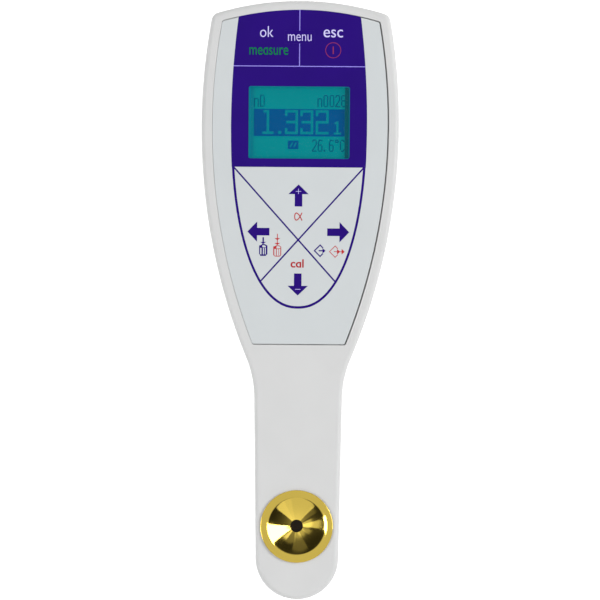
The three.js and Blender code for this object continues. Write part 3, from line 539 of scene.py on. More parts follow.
@dataclass(frozen=True)
class KeypadLayout:
    """Where the printed shield, its cross and the six key fields lie."""

    half_width: float = 28.4
    height: float = 76.27
    power: float = 2.2
    border: float = 1.03
    top_y: float = 55.58
    cross_y: float = 25.245
    cross_angle: float = math.radians(48.1)
    line_half_width: float = 0.32
    rule_half_width: float = 0.17
    upper_foot_y: float = 97.698
    plate_gap: float = 0.01
    film_low: float = 27.0
    film_high: float = 27.8
    print_low: float = 27.79
    print_high: float = 27.82
    steps: int = 220
    print_inset: float = 0.3
    window_low: Point = (-21.12, 59.18)
    window_high: Point = (21.15, 89.32)
    window_corner: float = 0.9
    window_steps: int = 5
    film_shift: Point = (-0.08, 0.0)
    print_shift: Point = (-0.53, -0.06)

    def shield(self, draft: Draft, margin: float, z: float) -> Face:
        """The lower half of the shield, as one face below the purple block.

        Args:
            draft: The draft that it is drawn in.
            margin: How far its curved edge is drawn in.
            z: Its height.

        Returns:
            The face, facing up.
        """
        bmesh.ops.create_circle(draft.bm, cap_ends=True, segments=self.steps, radius=1)
        for vert in draft.bm.verts:
            across, along = (
                math.copysign(abs(vert.co[axis]) ** (2 / self.power), vert.co[axis]) for axis in (0, 1)
            )
            x = across * (self.half_width - margin)
            y = HOUSING.widest_y + along * (self.height - margin)
            vert.co = Vector((x, y, z))
        draft.trim((0, self.top_y), (0, 1))
        return draft.face_up(draft.bm.faces[:][0])

    def field(self, key: Key, gap: float, low: float, high: float) -> Draft:
        """One key's field as a slab.

        Args:
            key: Which key.
            gap: How far it stays from the printed lines around it.
            low: Its foot.
            high: Its top.

        Returns:
            The slab.
        """
        draft = Draft()
        if key in ARROW_KEYS:
            self.shield(draft, self.border + gap, low)
            self.trim_by_cross(draft, key, self.line_half_width + gap)
            draft.trim((0, self.top_y - gap), (0, 1))
        else:
            PRINT_BLOCK.face(draft, self.print_inset + gap, low)
            side = 1 if key is Key.ESC else -1
            draft.trim((side * (self.rule_half_width + gap), 0), (-side, 0))
            draft.trim((0, self.upper_foot_y + self.rule_half_width + gap), (0, -1))
        return draft.raise_only(high - low).face_out()

    def window(self, gap: float, low: float, high: float, corner: float = 0.0) -> Draft:
        """A slab as large as the window.

        Args:
            gap: How far it is drawn in.
            low: Its foot.
            high: Its top.
            corner: How round its corners are.

        Returns:
            The slab.
        """
        (left, front), (right, back) = self.window_low, self.window_high
        draft = Draft().block((left + gap, front + gap, low), (right - gap, back - gap, high))
        if corner:
            draft.round_uprights(draft.bm.edges[:], (high - low) / 2, corner, self.window_steps)
        return draft

    def trim_by_cross(self, draft: Draft, key: Key, away: float) -> None:
        """Cuts a field back to its own quarter of the cross."""
        signs = {
            Key.UP: ((1, -1), (-1, -1)), Key.DOWN: ((1, 1), (-1, 1)),
            Key.LEFT: ((1, -1), (1, 1)), Key.RIGHT: ((-1, 1), (-1, -1)),
        }
        for across, along in signs[key]:
            normal = (across * math.sin(self.cross_angle), along * math.cos(self.cross_angle))
            draft.trim((-normal[0] * away, self.cross_y - normal[1] * away), normal)


LAYOUT = KeypadLayout()


# Finishes


def new_node(tree: Tree, kind: str, values: dict, **settings: object) -> bpy.types.ShaderNode:
    """Adds a shader node.

    Args:
        tree: The tree that it joins.
        kind: What comes after ShaderNode in its type.
        values: Each input's value, or the socket that it is linked to.
        settings: The node's own settings.

    Returns:
        The node.
    """
    node = tree.nodes.new(f"ShaderNode{kind}")
    for name, value in settings.items():
        setattr(node, name, value)
    set_inputs(tree, node, values)
    return node


def set_inputs(tree: Tree, node: bpy.types.ShaderNode, values: dict) -> None:
    """Sets or links a node's inputs."""
    for name, value in values.items():
        if isinstance(value, Socket):
            tree.links.new(value, node.inputs[name])
        else:
            node.inputs[name].default_value = value


@dataclass(frozen=True)
class Finish:
    """A finish with slight changes of tone and gloss and a fine grain in its surface."""

    name: str
    colour: Colour
    roughness: float = 0.45
    slot: str = "film"
    metallic: float = 0.0
    specular: float = 0.5
    mottle: float = 0.03
    mottle_scale: float = 60.0
    grain: float = 0.12
    grain_scale: float = 2600.0
    gloss_spread: float = 0.06
    coat: float = 0.0
    coat_roughness: float = 0.1
    alpha: float = 1.0
    glow: float = 0.0
    bump_depth: float = 0.00005
    noise_range: Point = (0.3, 0.7)
    noise_detail: float = 3.0
    gloss_fineness: float = 3.0

    def material(self) -> bpy.types.Material:
        """The finish as a material, made once."""
        made = bpy.data.materials.get(self.name)
        if made is None:
            made = bpy.data.materials.new(self.name)
            made.use_nodes = True
            self.build(made.node_tree)
        return made

    def build(self, tree: Tree) -> None:
        """Sets the shader and links its pattern nodes."""
        shader = tree.nodes["Principled BSDF"]
        place = tree.nodes.new("ShaderNodeTexCoord").outputs["Object"]
        set_inputs(tree, shader, {
            "Metallic": self.metallic, "Specular IOR Level": self.specular, "Alpha": self.alpha,
            "Coat Weight": self.coat, "Coat Roughness": self.coat_roughness,
            "Base Color": self.tone(tree, place), "Roughness": self.gloss(tree, place),
            "Normal": self.relief(tree, place),
        })
        if self.glow:
            set_inputs(tree, shader, {
                "Emission Color": (*self.colour, 1), "Emission Strength": self.glow,
            })

    def noise(self, tree: Tree, place: Socket, scale: float) -> Socket:
        """Soft noise over the surface, around a half."""
        return new_node(tree, "TexNoise", {
            "Scale": scale, "Detail": self.noise_detail, "Vector": place,
        }).outputs["Fac"]

    def tone(self, tree: Tree, place: Socket) -> Socket:
        """The colour, a little darker and lighter in soft clouds."""
        node = new_node(tree, "ValToRGB", {"Fac": self.noise(tree, place, self.mottle_scale)})
        for element, at, change in zip(
            node.color_ramp.elements, self.noise_range, (1 - self.mottle, 1 + self.mottle)
        ):
            element.position = at
            element.color = (*(min(value * change, 1.0) for value in self.colour), 1)
        return node.outputs["Color"]

    def gloss(self, tree: Tree, place: Socket) -> Socket:
        """The roughness, a little uneven."""
        return new_node(tree, "MapRange", {
            "From Min": self.noise_range[0], "From Max": self.noise_range[1],
            "To Min": max(self.roughness - self.gloss_spread, 0.0),
            "To Max": min(self.roughness + self.gloss_spread, 1.0),
            "Value": self.noise(tree, place, self.mottle_scale * self.gloss_fineness),
        }).outputs["Result"]

    def relief(self, tree: Tree, place: Socket) -> Socket:
        """The fine grain as a bump."""
        return self.bump(tree, self.noise(tree, place, self.grain_scale))

    def bump(self, tree: Tree, height: Socket) -> Socket:
        """A bump from a height pattern, as strong as the grain."""
        return new_node(tree, "Bump", {
            "Strength": self.grain, "Distance": self.bump_depth, "Height": height,
        }).outputs["Normal"]


@dataclass(frozen=True)
class TurnedMetal(Finish):
    """Metal with the fine rings that a lathe leaves around one centre."""

    centre: Point = DISH_PLACE
    ring_scale: float = 900.0
    waver: float = 1.5

    def relief(self, tree: Tree, place: Socket) -> Socket:
        """Fine rings about the centre as a bump."""
        location = (-self.centre[0] * MM, -self.centre[1] * MM, 0)
        mapping = new_node(tree, "Mapping", {"Location": location, "Vector": place})
        values = {"Scale": self.ring_scale, "Distortion": self.waver, "Vector": mapping.outputs["Vector"]}
        wave = new_node(tree, "TexWave", values, wave_type="RINGS", rings_direction="Z")
        return self.bump(tree, wave.outputs["Fac"])


@dataclass(frozen=True)
class CircuitBoard(Finish):
    """Solder mask over copper tracks and glass weave."""

    track: Colour = (0.03, 0.22, 0.1)
    track_width: float = 0.06
    cell_scale: float = 160.0
    cell_shade: float = 0.85

    def tone(self, tree: Tree, place: Socket) -> Socket:
        """Lighter tracks between square cells."""
        darker = tuple(value * self.cell_shade for value in self.colour)
        return new_node(tree, "TexBrick", {
            "Scale": self.cell_scale, "Mortar Size": self.track_width, "Mortar": (*self.track, 1),
            "Color1": (*self.colour, 1), "Color2": (*darker, 1), "Vector": place,
        }).outputs["Color"]


@dataclass(frozen=True)
class PixelField(Finish):
    """A liquid-crystal field with its fine square grid of cells."""

    pitch: float = 0.3
    gap_share: float = 0.06

    def relief(self, tree: Tree, place: Socket) -> Socket:
        """The grid of cells as a faint bump."""
        side = self.pitch * MM
        cells = new_node(tree, "TexBrick", {
            "Scale": 1, "Brick Width": side, "Row Height": side,
            "Mortar Size": side * self.gap_share, "Vector": place,
        }, offset=0)
        return self.bump(tree, cells.outputs["Fac"])


def light_ink(name: str, colour: Colour) -> Finish:
    """A pale ink, printed on the purple."""
    return Finish(name, colour, 0.5, specular=0.15, mottle=0.02)


def deep_ink(name: str, colour: Colour) -> Finish:
    """A strong ink, printed for a word or a sign."""
    return Finish(name, colour, 0.45, specular=0.1, mottle=0.04)


def screen_cells(name: str, colour: Colour, mottle: float = 0.03) -> Finish:
    """A part of the picture on the screen."""
    return PixelField(
        name, colour, 0.3, "display", specular=0.03, mottle=mottle, grain=0.05, glow=0.6,
    )


def screen_side(name: str, colour: Colour) -> Finish:
    """A plain strip beside the picture."""
    return Finish(name, colour, 0.4, "display", specular=0.03, mottle=0.04, glow=0.6)


class Finishes:
    """Every finish on the instrument."""

    housing = Finish(
        "housing_plastic", (0.624, 0.627, 0.626), 0.5, "housing", specular=0.35, grain=0.22,
        grain_scale=2200, mottle=0.015,
    )
    film = Finish(
        "grey_film", (0.58, 0.611, 0.622), 0.5, specular=0.35, grain=0.1, grain_scale=3200,
        mottle=0.012,
    )
    purple = Finish(
        "purple_print", (0.0185, 0.0012, 0.172), 0.38, "purple_key", specular=0.1, mottle=0.05,
        grain=0.06,
    )
    pale = light_ink("pale_print", from_screen(206, 200, 245))
    lavender = light_ink("lavender_print", from_screen(204, 196, 244))
    violet = light_ink("violet_print", from_screen(154, 142, 238))
    green = deep_ink("green_print", from_screen(0, 126, 52))
    red = deep_ink("red_print", from_screen(170, 40, 44))
    small_red = deep_ink("small_red_print", from_screen(184, 52, 54))
    dark_red = deep_ink("dark_red_print", from_screen(142, 48, 84))
    screen = screen_cells("screen_field", (0.0008, 0.1685, 0.1855))
    screen_left = screen_side("screen_left_edge", (0.002, 0.15, 0.2))
    # painted shadow: the right strip is the screen's dark border, darkened further to stand in for the shade
    # that the window's right wall casts
    screen_right_shadow = screen_side("screen_right_border_shadow", (0.003, 0.078, 0.103))
    screen_band = screen_cells("screen_band", (0.0008, 0.0575, 0.1705), 0.04)
    screen_digit = screen_cells("screen_digit", (0.0008, 0.15, 0.182))
    screen_ink = screen_cells("screen_ink", (0.0006, 0.055, 0.118), 0.04)
    window = Finish(
        "clear_window", (0.01, 0.02, 0.02), 0.06, "window", specular=0.3, alpha=0.05, grain=0.01,
        gloss_spread=0.02,
    )
    diffuser = Finish("light_spreader", (0.82, 0.86, 0.8), 0.6, mottle=0.02)
    black = Finish("matt_black_plastic", (0.012, 0.012, 0.014), 0.5, mottle=0.1)
    sheet = Finish("spacer_sheet", from_screen(120, 118, 112), 0.5, mottle=0.05)
    rubber = Finish(
        "seal_rubber", (0.022, 0.023, 0.025), 0.8, mottle=0.12, grain=0.4, grain_scale=1500,
    )
    board = CircuitBoard("circuit_board", (0.012, 0.1, 0.04), 0.4, mottle=0.08)
    steel = Finish(
        "plated_steel", (0.62, 0.62, 0.63), 0.28, "steel", metallic=1.0, mottle=0.06, grain=0.25,
        grain_scale=1800,
    )
    gold = TurnedMetal(
        "polished_gold", from_screen(249, 218, 101), 0.08, "gold", metallic=1.0, mottle=0.02,
        grain=0.02, gloss_spread=0.02,
    )
    cell = Finish("cell_sleeve", (0.028, 0.08, 0.27), 0.3, mottle=0.06, coat=0.4)
    glass = Finish(
        "dark_optical_glass", (0.0155, 0.0085, 0.002), 0.12, "optical_glass", specular=0.2,
        mottle=0.2, grain=0.02,
    )
    ribbon = Finish("ribbon_film", (0.48, 0.18, 0.025), 0.4, mottle=0.06)


NODE_FINISHES: dict[Finish, tuple[str, ...]] = {
    Finishes.rubber: ("housing_seal", "dish_seal", "prism_seal"),
    Finishes.sheet: ("keypad_spacer", "keypad_circuit"),
    Finishes.steel: (
        "snap_dome", "battery_contact", "battery_bridge", "dish_retainer", "temperature_sensor",
        "board_screw", "optics_screw",
    ),
    Finishes.screen: ("display_glass",),
    Finishes.diffuser: ("display_backlight", "light_source"),
    Finishes.black: (
        "display_bezel", "processor_chip", "buzzer", "ribbon_connector", "battery_tray",
        "optics_block", "image_sensor",
    ),
    Finishes.board: ("main_board", "sensor_board"),
    Finishes.cell: ("battery_cell",),
    Finishes.glass: ("collimating_lens",),
    Finishes.ribbon: ("sensor_ribbon",),
}


# Making pieces


def placed(name: str, data: bpy.types.ID) -> bpy.types.Object:
    """A new object in the scene."""
    made = bpy.data.objects.new(name, data)
    bpy.context.scene.collection.objects.link(made)
    return made


def make_piece(
    name: str, draft: Draft, finish: Finish, body: str = "housing", replaces: tuple[str, ...] = (),
    bevel: float = 0.0, shift: Point = (0.0, 0.0),
) -> bpy.types.Object:
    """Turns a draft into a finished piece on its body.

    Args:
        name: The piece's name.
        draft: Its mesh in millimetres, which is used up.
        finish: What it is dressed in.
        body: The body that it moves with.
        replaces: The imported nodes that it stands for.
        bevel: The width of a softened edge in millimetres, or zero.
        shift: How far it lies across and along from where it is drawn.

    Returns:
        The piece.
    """
    draft.face_out()
    bmesh.ops.translate(draft.bm, vec=(*shift, 0), verts=draft.bm.verts)
    bmesh.ops.scale(draft.bm, vec=(MM, MM, MM), verts=draft.bm.verts)
    mesh = bpy.data.meshes.new(name)
    draft.bm.to_mesh(mesh)
    draft.bm.free()
    mesh.shade_smooth()
    mesh.set_sharp_from_angle(angle=SMOOTH_ANGLE)
    mesh.materials.append(finish.material())
    piece = placed(name, mesh)
    if bevel:
        soften = piece.modifiers.new("soft_edges", "BEVEL")
        soften.width = bevel * MM
        soften.segments = BEVEL_SEGMENTS
        soften.limit_method = "ANGLE"
        soften.angle_limit = SMOOTH_ANGLE
        soften.harden_normals = False
    weighted = piece.modifiers.new("even_shading", "WEIGHTED_NORMAL")
    weighted.keep_sharp = True
    weighted.weight = FULL_WEIGHT
    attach(piece, body)
    if replaces:
        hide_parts(*replaces)
    LOG.info("%s on %s", name, body)
    return piece


def print_piece(
    name: str, draft: Draft, finish: Finish, key: Optional[Key] = None, **more: object,
) -> bpy.types.Object:
    """A piece of the film, moved as the print is, on a key's body or the housing."""
    body = key.value if key else "housing"
    return make_piece(name, draft, finish, body, shift=LAYOUT.print_shift, **more)


def screen_piece(name: str, draft: Draft, finish: Finish) -> bpy.types.Object:
    """A piece of the picture on the screen."""
    return make_piece(name, draft, finish, shift=LAYOUT.film_shift)


def set_at(place: Point, corners: tuple[Point, ...], scale: Point = (1.0, 1.0)) -> list[Point]:
    """Corners drawn about zero, stretched and moved to a place."""
    return [(place[0] + x * scale[0], place[1] + y * scale[1]) for x, y in corners]


def lettering(
    words: str, centre: Point, size: Point, z_range: Point, stroke: float = 0.0, level_foot: bool = False,
) -> Draft:
    """Plain lettering, fitted to a box.

    Args:
        words: What it says.
        centre: The middle of the box.
        size: The box's width and height.
        z_range: The lettering's foot and top.
        stroke: How much each stroke is thickened, as a share of the letter size.
        level_foot: Whether what hangs below the line is cut off, which leaves a
            round single-storey letter of one with a hanging stem.

    Returns:
        The lettering as a mesh.
    """
    curve = bpy.data.curves.new("lettering", "FONT")
    curve.body = words
    curve.size = LETTER_SIZE
    curve.offset = stroke * curve.size
    curve.extrude = LETTER_DEPTH
    curve.resolution_u = LETTER_STEPS
    foot = -curve.offset
    loose = placed("lettering", curve)
    bpy.context.view_layer.update()
    depsgraph = bpy.context.evaluated_depsgraph_get()
    mesh = bpy.data.meshes.new_from_object(loose.evaluated_get(depsgraph))
    draft = Draft()
    draft.bm.from_mesh(mesh)
    bpy.data.meshes.remove(mesh)
    bpy.data.objects.remove(loose)
    bpy.data.curves.remove(curve)
    draft.face_out()
    if level_foot:
        draft.trim((0, foot), (0, -1))
        draft.fill_holes()
        draft.face_out()
    spans = [(middle - length / 2, middle + length / 2) for middle, length in zip(centre, size)]
    for axis, (start, end) in enumerate((*spans, z_range)):
        values = [vert.co[axis] for vert in draft.bm.verts]
        low, high = min(values), max(values)
        for vert in draft.bm.verts:
            vert.co[axis] = start + (vert.co[axis] - low) / (high - low) * (end - start)
    return draft


def bars(strokes: list[Stroke], z_range: Point, rounding: float = 0.0, level: bool = False) -> Draft:
    """Straight printed strokes, each a thin bar.

    Args:
        strokes: Each stroke's start, end and width.
        z_range: Their foot and top.
        rounding: How round each bar's corners are, as a share of its width.
        level: Whether the bars keep one height, which suits a run of short ones.

    Returns:
        The strokes as one draft.
    """
    draft = Draft()
    height = z_range[1] - z_range[0]
    for place, (start, end, width) in enumerate(strokes):
        run = Vector(end) - Vector(start)
        middle = (Vector(end) + Vector(start)) / 2
        lift = (place % 2 if level else place) * BAR_LIFT
        matrix = (
            Matrix.Translation((middle.x, middle.y, (z_range[0] + z_range[1]) / 2 + lift))
            @ Matrix.Rotation(math.atan2(run.y, run.x), 4, "Z")
            @ Matrix.Diagonal((run.length + width, width, height, 1))
        )
        bar = bmesh.ops.create_cube(draft.bm, size=1, matrix=matrix)
        if rounding:
            edges = {edge for vert in bar["verts"] for edge in vert.link_edges}
            draft.round_uprights(edges, height / 2, rounding * width, BAR_STEPS)
    return draft


def screw_spots() -> list[tuple[str, Point, float, float]]:
    """Each housing screw's name, place, foot and top, read from the frame."""
    spots = []
    for node in sorted(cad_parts):
        if node.startswith("housing_screw"):
            low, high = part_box(node)
            place = ((low.x + high.x) / 2 / MM, (low.y + high.y) / 2 / MM)
            spots.append((node, place, low.z / MM, high.z / MM))
    return spots


# The housing


@dataclass
class HousingShells:
    """The two halves of the housing, their screw posts and seats, and the panel's recess."""

    face_z: float = 28.0
    parting: float = 13.0
    parting_gap: float = 0.3
    parting_chamfer: float = 0.25
    front_edge: float = 2.0
    back_edge_inset: float = 3.2
    back_edge_height: float = 5.0
    edge_steps: int = 7
    face_drop: float = 2.5
    face_slope: Point = (-62.0, -19.99)
    back_raise: float = 5.0
    back_slope: Point = (-59.0, -16.95)
    slope_cut_pitch: float = 2.0
    wall: float = 2.2
    head_ceiling: float = 23.6
    tail_ceiling: float = 23.1
    back_wall: float = 2.4
    recess_floor: float = 25.2
    recess_round: float = 0.35
    recess_lift: float = 0.01
    recess_steps: int = 4
    recess_shift: float = 0.12
    dish_seat: float = 13.0
    seat_steps: int = 96
    opening_low: Point = (-24.0, 56.3)
    opening_high: Point = (24.0, 92.3)
    post_radius: float = 3.4
    pilot_radius: float = 1.4
    sink_radius: float = 2.6
    sink_depth: float = 3.2
    sink_lip: float = 0.35
    channel_mouth: float = 14.3
    channel_wide: float = 16.3
    channel_start: float = 56.7
    channel_low: float = 0.9
    channel_throat: float = 1.5
    channel_high: float = 2.5
    overrun: float = 2.0
    post_lap: float = 0.8
    pilot_stop: float = 1.2
    pilot_steps: int = 24
    sink_steps: int = 40
    cut_low: float = 20.0
    cut_high: float = 30.0
    opening_top: float = 27.0
    ceiling_bevel: float = 1.0
    floor_bevel: Point = (1.2, 2.5)
    back_top: float = 6.0

    def face_height(self, y: float) -> float:
        """How far the face has dropped at a place along the part."""
        return self.face_drop * (1 - smooth_share(y, *self.face_slope))

    def back_height(self, y: float) -> float:
        """How far the back is raised at a place along the part."""
        return self.back_raise * (1 - smooth_share(y, *self.back_slope))

    def ceiling(self, y: float) -> float:
        """Where the inner face of the front half lies."""
        share = self.face_height(y) / self.face_drop
        return self.head_ceiling + (self.tail_ceiling - self.head_ceiling) * share

    def slope_cuts(self, slope: Point) -> list[float]:
        """Where a slope is cut across, so that it bends smoothly."""
        count = round((slope[1] - slope[0]) / self.slope_cut_pitch)
        return [slope[0] + (slope[1] - slope[0]) * step / count for step in range(count + 1)]

    def bend_face(self, draft: Draft, drop: float) -> Draft:
        """Lowers what lies high in a draft towards the tail, by drop in all."""
        return draft.bend(
            self.slope_cuts(self.face_slope),
            lambda at: -drop * self.face_height(at.y) / self.face_drop if at.z > self.cut_low else 0.0,
        )

    def bend_back(self, draft: Draft) -> Draft:
        """Raises the underside of a draft towards the tail."""
        return draft.bend(
            self.slope_cuts(self.back_slope),
            lambda at: self.back_height(at.y) if at.z < self.back_top else 0.0,
        )

    def front_form(self) -> Draft:
        """The front half as a full body with its rounded edge."""
        draft = Draft()
        foot = self.parting + self.parting_gap + self.parting_chamfer
        base = HOUSING.face(draft, 0, foot)
        top = draft.raise_face(base, self.face_z - self.front_edge - foot)
        draft.step_in(base, [(self.parting_chamfer, self.parting_chamfer)])
        draft.step_in(top, quarter_rows(self.front_edge, self.front_edge, self.edge_steps))
        return self.bend_face(draft, self.face_drop)

    def front_cavity(self) -> Draft:
        """The hollow of the front half."""
        draft = Draft()
        base = HOUSING.face(draft, self.wall, self.parting - self.overrun)
        side = self.head_ceiling - self.ceiling_bevel - self.parting + self.overrun
        draft.step_in(draft.raise_face(base, side), [(self.ceiling_bevel, self.ceiling_bevel)])
        return self.bend_face(draft, self.head_ceiling - self.tail_ceiling)

    def back_form(self) -> Draft:
        """The back half as a full body with its deep rounded edge."""
        draft = Draft()
        head = self.parting - self.parting_chamfer
        top = HOUSING.face(draft, 0, head)
        base = draft.raise_face(top, self.back_edge_height - head)
        bmesh.ops.reverse_faces(draft.bm, faces=draft.bm.faces)
        draft.bm.normal_update()
        draft.step_in(top, [(self.parting_chamfer, self.parting_chamfer)])
        draft.step_in(base, quarter_rows(self.back_edge_inset, self.back_edge_height, self.edge_steps))
        return self.bend_back(draft)

    def back_cavity(self) -> Draft:
        """The hollow of the back half."""
        draft = Draft()
        start = self.back_wall + self.floor_bevel[1]
        base = HOUSING.face(draft, self.wall, start)
        draft.raise_face(base, self.parting + self.overrun - start)
        draft.step_in(base, [self.floor_bevel])
        return self.bend_back(draft)

    def recess(self) -> Draft:
        """What is cut from the face for the keypad, with a softened rim."""
        draft = Draft()
        widest = PANEL.face(draft, -self.recess_round, self.face_z + 1)
        lowest = draft.raise_face(widest, self.recess_lift - 1)
        bmesh.ops.reverse_faces(draft.bm, faces=draft.bm.faces)
        draft.bm.normal_update()
        rows = quarter_rows(self.recess_round, self.recess_round, self.recess_steps)
        draft.step_in(lowest, [(rise, inset) for inset, rise in rows])
        rim_foot = self.face_z + self.recess_lift - self.recess_round
        floor = draft.raise_face(lowest, self.recess_floor - rim_foot)
        bmesh.ops.delete(draft.bm, geom=[lowest], context="FACES_ONLY")
        floor.normal_update()
        bmesh.ops.translate(draft.bm, vec=(self.recess_shift, 0, 0), verts=draft.bm.verts)
        return draft

    def rods(self, radius: float, low: Height, high: Height, steps: int = 48) -> Draft:
        """Rods on the screws' places.

        Args:
            radius: Their radius.
            low: Gives a rod's foot for its place along the part.
            high: Gives a rod's top in the same way.
            steps: How many faces each has around.

        Returns:
            The rods.
        """
        draft = Draft()
        for _, place, _, _ in screw_spots():
            draft.rod(radius, place, low(place[1]), high(place[1]), steps)
        return draft

    def sinks(self) -> Draft:
        """The sunk seats of the screws' heads, each with a wider lip."""
        draft = Draft()
        for _, place, _, _ in screw_spots():
            base = self.back_height(place[1])
            floor = base + self.sink_depth
            lip = self.sink_radius + self.sink_lip
            profile = [
                (0, floor), (self.sink_radius, floor), (self.sink_radius, base + self.sink_lip),
                (lip, base), (lip, base - 1), (0, base - 1),
            ]
            draft.turn(profile, place, self.sink_steps, closed=False)
        return draft

    def channel(self) -> Draft:
        """The channel that the battery door slides in."""
        start, end = self.channel_start, HOUSING.head_end + self.overrun
        mouth, wide = self.channel_mouth, self.channel_wide
        draft = Draft().block((-mouth, start, -1), (mouth, end, self.channel_throat))
        slot = Draft().block((-wide, start, self.channel_low), (wide, end, self.channel_high))
        return draft.combine(slot, Cut.ADD)

    def build(self) -> None:
        """Makes both halves."""
        foot = self.parting + self.parting_gap
        front = self.front_form().combine(self.front_cavity())
        front.combine(
            self.rods(self.post_radius, lambda y: foot, lambda y: self.ceiling(y) + self.post_lap), Cut.ADD
        )
        front.combine(self.rods(
            self.pilot_radius, lambda y: self.parting, lambda y: self.ceiling(y) - self.pilot_stop,
            self.pilot_steps,
        ))
        front.combine(self.recess())
        opening = Draft().block((*self.opening_low, self.cut_low), (*self.opening_high, self.opening_top))
        front.combine(opening)
        front.combine(Draft().rod(self.dish_seat, DISH_PLACE, self.cut_low, self.cut_high, self.seat_steps))
        make_piece("front_shell", front, Finishes.housing, replaces=("front_housing",))
        back = self.back_form().combine(self.back_cavity())
        back.combine(self.rods(
            self.post_radius, lambda y: self.back_height(y) + self.post_lap, lambda y: self.parting
        ), Cut.ADD)
        back.combine(self.rods(
            self.pilot_radius, lambda y: -1, lambda y: self.parting + 1, self.pilot_steps
        ))
        back.combine(self.sinks())
        back.combine(self.channel())
        make_piece("rear_shell", back, Finishes.housing, replaces=("rear_housing",))


@dataclass
class BatteryDoor:
    """The sliding door in the back, with grip grooves and a direction arrow."""

    half_width: float = 14.0
    tongue: float = 2.0
    start_y: float = 57.0
    low: float = 0.3
    high: float = 2.2
    tongue_low: float = 1.2
    groove_count: int = 5
    groove_pitch: float = 2.4
    groove_width: float = 1.1
    groove_depth: float = 0.5
    groove_half_length: float = 8.0
    groove_from_end: float = 12.0
    edge: float = 0.15
    arrow_y: float = 96.0
    arrow_half_width: float = 3.0
    arrow_length: float = 5.2
    arrow_depth: float = 0.35

    def build(self, shells: HousingShells) -> None:
        """Makes the door.

        Args:
            shells: The housing, whose back form the door's end follows.
        """
        start, end = self.start_y, HOUSING.head_end + 1
        wide = self.half_width + self.tongue
        draft = Draft().block((-self.half_width, start, self.low), (self.half_width, end, self.high))
        draft.combine(Draft().block((-wide, start, self.tongue_low), (wide, end, self.high)), Cut.ADD)
        draft.combine(shells.back_form(), Cut.KEEP_COMMON)
        grooves = Draft()
        for place in range(self.groove_count):
            y = HOUSING.head_end - self.groove_from_end - place * self.groove_pitch
            grooves.block(
                (-self.groove_half_length, y - self.groove_width / 2, self.low - 1),
                (self.groove_half_length, y + self.groove_width / 2, self.low + self.groove_depth),
            )
        draft.combine(grooves)
        arrow = Draft()
        half, tip = self.arrow_half_width, self.arrow_y + self.arrow_length
        corners = [(-half, self.arrow_y), (half, self.arrow_y), (0, tip)]
        arrow.raise_face(arrow.polygon(corners, self.low - 1), 1 + self.arrow_depth)
        draft.combine(arrow)
        make_piece(
            "battery_door_panel", draft, Finishes.housing, "battery_door", ("battery_door",),
            bevel=self.edge,
        )


@dataclass
class HousingScrew:
    """A self-tapping screw with a rounded head and a cross recess."""

    head_radius: float = 2.3
    head_height: float = 1.6
    shank_radius: float = 1.1
    thread_radius: float = 1.35
    thread_pitch: float = 0.9
    point: float = 0.8
    recess_width: float = 0.62
    recess_length: float = 2.7
    recess_depth: float = 0.8
    crown: tuple[Point, ...] = ((0.0, 0.0), (0.55, 0.04), (0.85, 0.18), (1.0, 0.5))
    neck: float = 0.4
    steps: int = 32

    def draft(self, place: Point, low: float, high: float) -> Draft:
        """The screw, head down.

        Args:
            place: Where it stands.
            low: The outer face of its head.
            high: Its point.

        Returns:
            Its mesh.
        """
        radius, shank = self.head_radius, self.shank_radius
        shoulder = low + self.head_height
        profile = [(radius * share, low + rise) for share, rise in self.crown] + [
            (radius, shoulder), (shank, shoulder)
        ]
        height = shoulder + self.neck
        while height + self.thread_pitch < high - self.point:
            profile += [(shank, height), (self.thread_radius, height + self.thread_pitch / 2)]
            height += self.thread_pitch
        profile += [(shank, height), (shank, high - self.point), (0, high)]
        screw = Draft().turn(profile, place, self.steps, closed=False)
        screw.face_out()
        half, side, depth = self.recess_length / 2, self.recess_width / 2, self.recess_depth
        x, y = place
        for across, along in ((half, side), (side, half)):
            screw.combine(
                Draft().block((x - across, y - along, low - 1), (x + across, y + along, low + depth))
            )
        return screw

    def build_all(self) -> None:
        """Makes every housing screw where the frame has it."""
        for node, place, low, high in screw_spots():
            make_piece(f"{node}_cross", self.draft(place, low, high), Finishes.steel, replaces=(node,))


# The keypad


